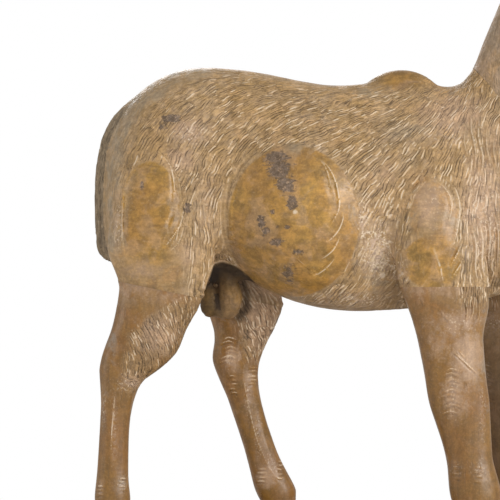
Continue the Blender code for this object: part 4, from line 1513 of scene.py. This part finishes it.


# %% [markdown]
# The thighs meet in an arch under the belly, and the scrotum hangs in it, carved from the same
# block. The near lobe is narrowed to an egg here, and a groove parts the lobes. The hollow all
# round is painted dark as painted shade, and so are the underside and the top of the scrotum.

# %% The groin and the scrotum
near_lobe = np.hypot((x + 89) / 13, (z - 264) / 29) < 1.25
near_lobe = near_lobe & (y > -14) & (y < 4)
narrow = 0.42 * smooth_step(z, 256, 288) * np.clip(x + 98, 0.0, None)
trunk["points"][:, 0] -= np.where(near_lobe, narrow, 0.0)
x = trunk["points"][:, 0]
SCROTUM_LOBES = [(-89, -3, 264, 13, 9.5, 29), (-111, 4, 254, 10, 9, 18), (-98, 0, 242, 6.5, 6, 7)]
SCROTUM_LOBES += [(-101, 0, 284, 16, 8, 12)]
reach = np.full(len(x), 9.0)
for lobe_x, lobe_y, lobe_z, half_x, half_y, half_z in SCROTUM_LOBES:
    offset = ((x - lobe_x) / half_x) ** 2 + ((y - lobe_y) / half_y) ** 2 + ((z - lobe_z) / half_z) ** 2
    reach = np.minimum(reach, np.sqrt(offset))
scrotum = (1.0 - smooth_step(reach, 1.08, 1.3)) * (z < 288)
# Painted shade: the hollow under the rim of the arch goes dark, less so on the far side.
rim_z = np.interp(x, *np.array(ARCH_RIM, float).T, left=200.0)
cavity = smooth_step(rim_z - z, -0.5, 2.5) * smooth_step(y, -50, -43) * (1.0 - smooth_step(x, -58, -30))
cavity *= 1.0 - 0.75 * smooth_step(y, 6, 22)
trunk["grime"] = np.clip(trunk["grime"] + cavity * (1.0 - scrotum), 0.0, 0.92)
# Painted shade under the belly.
trunk["grime"] += 0.2 * underside * (1.0 - cavity)
for finish in ("hair", "worn", "tone", "ash"):
    trunk[finish] *= 1.0 - np.maximum(scrotum, cavity)
trunk["gold"] = np.maximum(trunk["gold"], scrotum)
trunk["polish"] = np.maximum(trunk["polish"], 0.5 * scrotum)
# Painted shade on the scrotum, darker towards its top in the arch and on its rear lobe.
depth_in_arch = smooth_step(z, 256, 284) * 0.5 + 0.42 + 0.24 * smooth_step(-x, 98, 106)
trunk["grime"] += scrotum * depth_in_arch
trunk["grime"] = np.where(far_thigh, np.maximum(trunk["grime"], 0.06), trunk["grime"])
# The groove between the lobes is painted darker than a plain cut, as painted shade.
between_lobes = curve_through([(-103, 279), (-104, 268), (-103, 254), (-99, 240)])
draw_line(trunk, between_lobes, -1, height=-1.6, width=4.6, tone=-1.3, least_y=3.0)
for stations in ([(-104, 279), (-105, 271)], [(-108, 264), (-105, 254)], [(-103, 261), (-102, 254)]):
    draw_line(trunk, curve_through(stations), -1, height=0.3, width=1.3, tone=0.75)
# Painted shade in the hollow beside the near lobe.
BESIDE_LOBE = curve_through([(-86, 286), (-79, 278), (-75, 268), (-73, 257), (-74, 246), (-81, 237)])
paint_hollow_shade(trunk, BESIDE_LOBE, width=5.0, amount=0.8, mask=(1.0 - scrotum) * (y > -20))

# %% [markdown]
# Two joints show on the near flank. The one at the neck gets a pale painted highlight along its
# rim, and the one across the thigh holds dirt, so each gets its own tone. Then the carving goes
# back into the mesh, and the piece takes the place of its node.

# %% The seams of the body, and the end of its carving
near_thigh = (z < 310) * (y < -10) * (1.0 - smooth_step(x, -160, -128))
# A pale painted highlight along the rim of the neck joint.
shade_seam(trunk, NECK_CUT, width=1.6, tone=0.42)
shade_seam(trunk, NEAR_THIGH_CUT, width=1.8, tone=-0.45, where=near_thigh)
finish_carving(trunk, "body", HIDE_WOOD)

# %% [markdown]
# ## The legs
#
# The legs are smooth golden wood with a little hair on the thighs. A sharp ridge runs down each
# cannon bone, with a pale painted highlight along it on the hind legs, and short level wrinkles are
# cut where the skin folds at the hocks, the knees and the fetlocks. The hooves are plain, a shade
# darker, with fine growth lines.

# %% What the legs share
LEG_VOXEL = 1.12 * MM
HOOF_TOP = 34
HOOF_LINE_PITCH = 4.2


def sawn_carving(node, name, voxel, cuts, passes):
    """The even blank of a piece, sawn to length and ready to be carved."""
    blank, reaches = fine_blank(node, name, voxel, cuts)
    carving = start_carving(blank)
    even_out(carving, passes)
    return saw_to_length(carving, cuts, reaches)


def leg_carving(node, name, cut):
    """The blank of a leg, golden and polished all over to begin with."""
    carving = sawn_carving(node, name, LEG_VOXEL, [(cut, False, 0, -HALF_SAW)], 14)
    carving["polish"][:] = 0.95
    carving["gold"][:] = 0.8
    return carving


def hair_zone(carving, zone, places, length, pitch, depth, seed):
    """Combs hair into one part of a leg, which is duller and less golden there."""
    carving["hair"] = zone
    lay_coat(carving, places, 22.0)
    carving["polish"] *= 1.0 - 0.8 * zone
    carving["gold"] *= 1.0 - 0.6 * zone
    comb_hair(carving, length, pitch, depth, seed, curl=0.035)


def hooves(carving):
    """Darkens the hooves and cuts their growth lines."""
    z = carving["points"][:, 2]
    hoof = 1.0 - smooth_step(z, HOOF_TOP - 7, HOOF_TOP)
    lines = 0.5 + 0.5 * np.cos(2 * math.pi * z / HOOF_LINE_PITCH)
    sides = 1.0 - smooth_step(np.abs(carving["normals"][:, 2]), 0.5, 0.8)
    push(carving, -0.25 * hoof * sides * lines)
    carving["horny"] = 0.8 * hoof
    carving["tone"] *= 1.0 - hoof


# %% [markdown]
# This leg starts at the slanting joint across the thigh. Short hair covers the front of it down to
# the hock, and its back is bare, with a grey painted sheen along its edge.

# %% The near hind leg
near_hind = leg_carving("near_hind_leg", "carved_near_hind_leg", NEAR_THIGH_CUT)
x, _, z = near_hind["points"].T
near_hind["points"][:, 0] = x + LEG_CORNER_SHIFT * smooth_step(-x, *CORNER) * smooth_step(z, 248, 272)
back_half = 1.0 - smooth_step(near_hind["points"][:, 0], -160, -128)
shade_seam(near_hind, NEAR_THIGH_CUT, width=1.8, tone=-0.45, where=back_half)
NEAR_HIND_FOLDS = [(-196, 81, 4.5, 4, 4.0, 0.5), (-217, 73, 4.0, 3, 4.0, 0.3)]
cut_folds(near_hind, NEAR_HIND_FOLDS)
# A raised ridge down the cannon bone, with a pale painted highlight along it.
cannon = curve_through([(-202, 172), (-204, 146), (-206, 120), (-206, 92)])
for side in (-1, 1):
    draw_line(near_hind, cannon, side, height=0.5, width=1.3, tone=0.9)
HAIR_HEIGHTS = [160, 177, 200, 225, 240, 252, 262]
HAIR_FRONT = [-194, -199, -195, -188, -170, -150, -132]
x, _, z = near_hind["points"].T
front = np.interp(z, HAIR_HEIGHTS, HAIR_FRONT)
zone = smooth_step(x - front, -4, 8) * smooth_step(z, 160, 172)
NEAR_HIND_PLACES = [
    (-150, 250, 112, 0.16),
    (-160, 232, 116, 0.26),
    (-150, 214, 122, 0.10),
    (-180, 190, 112, 0.12),
    (-125, 245, 98, 0.16),
    (-190, 176, 70, 0.28),
    (-165, 196, 120, 0.10),
]
hair_zone(near_hind, zone, NEAR_HIND_PLACES, length=6.2, pitch=2.5, depth=0.70, seed=11)
near_hind["gold"] *= 1.0 - 0.2 * smooth_step(z, 222, 262)
tint(near_hind, rose=[(-178, 270, 46, 16, 0.65), (-160, 222, 26, 24, 0.75)])
tint(near_hind, rose=[(-183, 176, 12, 11, 0.6), (-150, 258, 16, 10, 0.5)])
# The first two ash spots are a grey painted sheen down the back edge of the leg; the third is grey at the
# fetlock.
tint(near_hind, ash=[(-206, 232, 7, 40, 0.6), (-212, 186, 6, 24, 0.5), (-196, 80, 10, 10, 0.5)])
tint(near_hind, worn=[(-203, 130, 3, 40, 0.4), (-190, 174, 14, 8, 0.35), (-214, 150, 3, 24, 0.35)])
tint(near_hind, worn=[(-196, 78, 8, 12, 0.3), (-218, 70, 4, 8, 0.3)])
hooves(near_hind)
finish_carving(near_hind, "near_hind_leg", LEG_WOOD)

# %% [markdown]
# This leg steps forward under the belly. It is folded at the hock and the fetlock, and painted
# dark at the top, beside the groin, as painted shade.

# %% The far hind leg
far_hind = leg_carving("far_hind_leg", "carved_far_hind_leg", FAR_THIGH_CUT)
far_hind["gold"][:] = 1.0
far_hind["polish"] *= 0.8
FAR_HIND_FOLDS = [
    (-92, 216, 10.0, 6, 4.8, 3.0),
    (-67, 186, 5.0, 5, 4.0, 0.5),
    (-87, 178, 5.0, 5, 4.4, 1.0),
    (-57, 84, 6.0, 4, 4.2, 0.5),
    (-39, 92, 4.0, 5, 4.2, -1.0),
]
cut_folds(far_hind, FAR_HIND_FOLDS)
# A raised ridge down the cannon bone, with a pale painted highlight along it.
cannon = curve_through([(-76, 192), (-77, 178), (-73, 156), (-67, 128), (-60, 106), (-50, 84), (-42, 72)])
for side in (-1, 1):
    draw_line(far_hind, cannon, side, height=0.5, width=1.6, tone=0.75)
x, y, z = far_hind["points"].T
zone = smooth_step(x + 0.25 * (z - 230), -90, -78) * smooth_step(z, 186, 200)
FAR_HIND_PLACES = [
    (-60, 260, 112, 0.45),
    (-50, 240, 116, 0.45),
    (-70, 220, 112, 0.40),
    (-80, 205, 106, 0.40),
]
hair_zone(far_hind, zone, FAR_HIND_PLACES, length=6.4, pitch=2.5, depth=0.75, seed=12)
tint(far_hind, rose=[(-58, 240, 24, 46, 0.9), (-88, 196, 12, 14, 0.85)])
tint(far_hind, rose=[(-52, 76, 13, 13, 0.9), (-70, 176, 8, 8, 0.6)])
# The second ash spot is a grey painted sheen down the back edge of the leg.
tint(far_hind, ash=[(-46, 214, 8, 26, 0.4), (-96, 240, 8, 20, 0.4)])
tint(far_hind, worn=[(-90, 196, 8, 12, 0.3), (-72, 160, 4, 26, 0.4)])
tint(far_hind, worn=[(-62, 118, 4, 26, 0.4), (-48, 84, 9, 14, 0.35)])
# Painted shade at the top of the leg, beside the groin and the scrotum.
tint(far_hind, y < 30, grime=[(-108, 262, 24, 20, 0.75), (-70, 275, 30, 10, 0.08)])
paint_hollow_shade(far_hind, BESIDE_LOBE, width=5.0, amount=0.8, mask=y < 30)
hooves(far_hind)
finish_carving(far_hind, "far_hind_leg", LEG_WOOD)

# %% [markdown]
# Both forelegs come from one loop. Only a strip of the far one shows, so it has the same folds a
# little further on, with less colour, hardly any polish, and painted shade on its inner side, behind
# the near leg.

# %% The forelegs
FAR_REACH = 40.0
FORELEG_FOLDS = [(126, 188, 10.0, 9, 5.2, 3.4), (133, 95, 4.0, 4, 4.4, 0.3), (152, 92, 4.0, 4, 4.4, 0.3)]
SCARS = [
    ([(127, 205), (137, 196), (151, 183)], 0.7, 1.0),
    ([(133, 206), (139, 198)], 0.5, 0.8),
    ([(138, 256), (141, 246), (140, 235)], 0.8, 0.7),
    ([(146, 257), (147, 246), (144, 236)], 0.8, 0.7),
    ([(153, 254), (153, 242), (149, 232)], 0.7, 0.6),
    ([(106, 250), (114, 246), (120, 238)], 0.4, 0.3),
    ([(112, 242), (120, 238), (126, 230)], 0.4, 0.3),
    ([(96, 258), (99, 250)], 0.5, 0.5),
]
FORELEG_PLACES = [(120, 260, 84, 0.3), (150, 240, 92, 0.4)]
FORELEG_ROSE = [
    (110, 268, 50, 14, 0.6),
    (130, 232, 34, 20, 0.6),
    (144, 200, 20, 30, 0.9),
    (116, 212, 16, 22, 0.6),
    (132, 165, 18, 26, 0.7),
]
# The first spot is a grey painted sheen down the front edge of the leg; the second is grey at the fetlock.
FORELEG_ASH_AND_SHEEN = [(162, 205, 7, 70, 0.7), (156, 92, 9, 12, 0.4)]
FORELEG_RUBBED = [
    (128, 165, 6, 26, 0.35),
    (156, 92, 6, 9, 0.35),
    (132, 90, 6, 8, 0.3),
    (134, 232, 26, 14, 0.3),
    (158, 150, 4, 40, 0.3),
]
FORELEG_DUST = [(140, 100, 22, 34, 0.12)]


def further_on(spots, reach):
    """The same spots further along the plinth."""
    return [(spot_x + reach, *rest) for spot_x, *rest in spots]


for node, reach in (("near_foreleg", 0.0), ("far_foreleg", FAR_REACH)):
    leg = leg_carving(node, "carved_" + node, FORELEG_CUT)
    cut_folds(leg, further_on(FORELEG_FOLDS, reach), depth=0.40, pale=0.80)
    for stations, depth, lip in SCARS:
        cut_crescent(leg, further_on(stations, 0.3 * reach), depth, lip, width=1.2)
    x, y, z = leg["points"].T
    shift = reach * (1.0 - smooth_step(z, 200, 350))
    zone = smooth_step(z, 238, 262) * smooth_step(x - shift, 128, 142)
    hair_zone(leg, zone, FORELEG_PLACES, length=11.0, pitch=3.6, depth=0.8, seed=13)
    clean = 0.1 if reach else 1.0
    tint(leg, clean, rose=further_on(FORELEG_ROSE, reach), ash=further_on(FORELEG_ASH_AND_SHEEN, reach))
    tint(leg, worn=further_on(FORELEG_RUBBED, reach), grime=further_on(FORELEG_DUST, reach))
    leg["gold"] *= 1.0 - 0.2 * smooth_step(z, 228, 262)
    if reach:
        leg["polish"] *= 0.35
        leg["gold"][:] = 1.0
        # Painted shade on the inner side of the far foreleg, behind the near one.
        tint(leg, 1.0 - smooth_step(y, 45, 60), grime=[(170, 140, 80, 190, 0.72)])
    hooves(leg)
    finish_carving(leg, node, LEG_WOOD)


# %% [markdown]
# ## The neck and the head
#
# Only the root of the neck is in the photograph, so the head is in keeping and plainer: short
# hair that runs down the neck, a smooth muzzle, a lidded eye, a nostril pressed in and painted dark
# as painted shade, and cupped ears.
# Places on the head are measured along the face from the crown, and below the line of the brow.

# %% The neck and the head
HEAD_CROWN = (236.0, 668.0)
HEAD_TILT = math.radians(-35.0)
NECK_PLACES = [(170, 470, 96, 0.05), (200, 560, 102, 0.05), (240, 520, 98, 0.05), (240, 640, 120, 0.05)]
NECK_PLACES += [(290, 650, 150, 0.04), (320, 610, 145, 0.03)]
NECK_VOXEL = 1.22 * MM
EYE = (36.0, 19.0, 9.0, 5.6)
NOSTRIL = (143.0, 11.0, 6.0, 3.5)
NECK_CUTS = [(NECK_CUT, True, 0, HALF_SAW)]
head = sawn_carving("neck_and_head", "carved_neck_and_head", NECK_VOXEL, NECK_CUTS, 8)
x, _, z = head["points"].T
along_face = (x - HEAD_CROWN[0]) * math.cos(HEAD_TILT) + (z - HEAD_CROWN[1]) * math.sin(HEAD_TILT)
below_brow = (x - HEAD_CROWN[0]) * math.sin(HEAD_TILT) - (z - HEAD_CROWN[1]) * math.cos(HEAD_TILT)
muzzle = smooth_step(along_face, 84, 118)
sideways = smooth_step(np.abs(head["normals"][:, 1]), 0.25, 0.5)
eye = oval_reach(along_face, below_brow, EYE)
lids = np.exp(-(((eye - 1.22) / 0.20) ** 2)) * sideways
eyeball = (1.0 - smooth_step(eye, 0.82, 1.0)) * sideways
nostril = (1.0 - smooth_step(oval_reach(along_face, below_brow, NOSTRIL), 0.8, 1.2)) * sideways
push(head, 0.7 * lids - 0.5 * np.exp(-(((eye - 0.98) / 0.08) ** 2)) * sideways - 0.8 * nostril)
face = np.maximum.reduce([muzzle, 1.0 - smooth_step(eye, 1.5, 2.4)])
head["polish"] = 0.6 * face
head["gold"] = np.maximum(0.30, 0.7 * face)
# The eyeball is dark, and the nostril is painted dark as painted shade in its opening.
head["horny"] = np.maximum(0.95 * eyeball, 0.8 * nostril)
head["tone"] = 0.45 * lids * (below_brow < EYE[1]) + 0.2 * lids
head["hair"] = (1.0 - face) * (0.45 + 0.35 * smooth_step(z, 520, 600))
lay_coat(head, NECK_PLACES, reach=40.0)
comb_hair(head, length=12.5, pitch=4.4, depth=0.5, seed=17)
tint(head, ash=[(250, 560, 18, 60, 0.6), (200, 600, 14, 40, 0.5), (330, 600, 22, 22, 0.6)])
tint(head, rose=[(215, 500, 30, 36, 0.6), (270, 640, 24, 20, 0.6)])
tint(head, worn=[(352, 590, 10, 14, 0.35), (243, 662, 12, 8, 0.3), (190, 560, 8, 40, 0.25)])
finish_carving(head, "neck_and_head", NECK_WOOD)

# %% [markdown]
# ## The horns
#
# The horns are carved with rings, dark, and let into the brow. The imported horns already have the
# sweep and the rings, so a copy is merged and given a smooth subdivided surface.


# %% The horns
def horn_wood():
    """Dark, finely streaked wood with a little shine."""
    material, tree, patina, grain = new_wood("horn_wood_dark", 2.0, (160.0, 260.0, 22.0))
    wood = overlay(
        tree,
        paint((74, 56, 40)),
        (patina["Clouds"], paint((98, 76, 52))),
        (ramp(tree, grain["Fibres"], 0.35, 0.7), paint((56, 42, 30))),
        (times(tree, patina["Specks"], 0.25), paint((150, 124, 88))),
    )
    rough = ramp(tree, patina["Mottle"], 0.0, 1.0, 0.34, 0.5)
    return finish_wood(material, wood, rough, grain["Fibres"], strength=0.5, depth=0.0004)


HORN_WOOD = horn_wood()
for node in ("near_horn", "far_horn"):
    horn = copy_node(node, "ringed_" + node)
    bpy.ops.mesh.tris_convert_to_quads()
    bpy.ops.object.mode_set(mode="OBJECT")
    apply_modifier(horn, "SUBSURF", levels=2, render_levels=2)
    bpy.ops.object.shade_smooth()
    horn.data.materials.clear()
    horn.data.materials.append(HORN_WOOD)
    horn.select_set(False)
    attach(horn, "root")
    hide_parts(node)
    print(f"{horn.name}: {2 * len(horn.data.polygons)} triangles")


# %% [markdown]
# ## The plinth
#
# The plinth is a plain stepped board in the same wood, darker and duller than the figure. Its
# solid is right as it is, so it stays and only gets its finish: long grain and dust.


# %% The plinth's wood
def plinth_wood():
    """Dull, brown, open-pored wood, with its grain along the plinth."""
    material, tree, patina, grain = new_wood("plinth_wood_dark", 0.8, (7.0, 120.0, 160.0))
    wood = overlay(
        tree,
        paint((112, 80, 48)),
        (patina["Clouds"], paint((92, 66, 40))),
        (ramp(tree, grain["Fibres"], 0.32, 0.72), paint((138, 102, 62))),
        (times(tree, grain["Pores"], 0.7), paint((54, 38, 24))),
        (times(tree, patina["Mottle"], 0.3), paint((146, 118, 84))),
    )
    rough = ramp(tree, patina["Mottle"], 0.0, 1.0, 0.48, 0.68)
    relief = minus(tree, grain["Fibres"], times(tree, grain["Pores"], 0.8))
    return finish_wood(material, wood, rough, relief, strength=0.6, depth=0.0006)


PLINTH_WOOD = plinth_wood()
for slot in frame["nodes"]["plinth"].material_slots:
    slot.material = PLINTH_WOOD
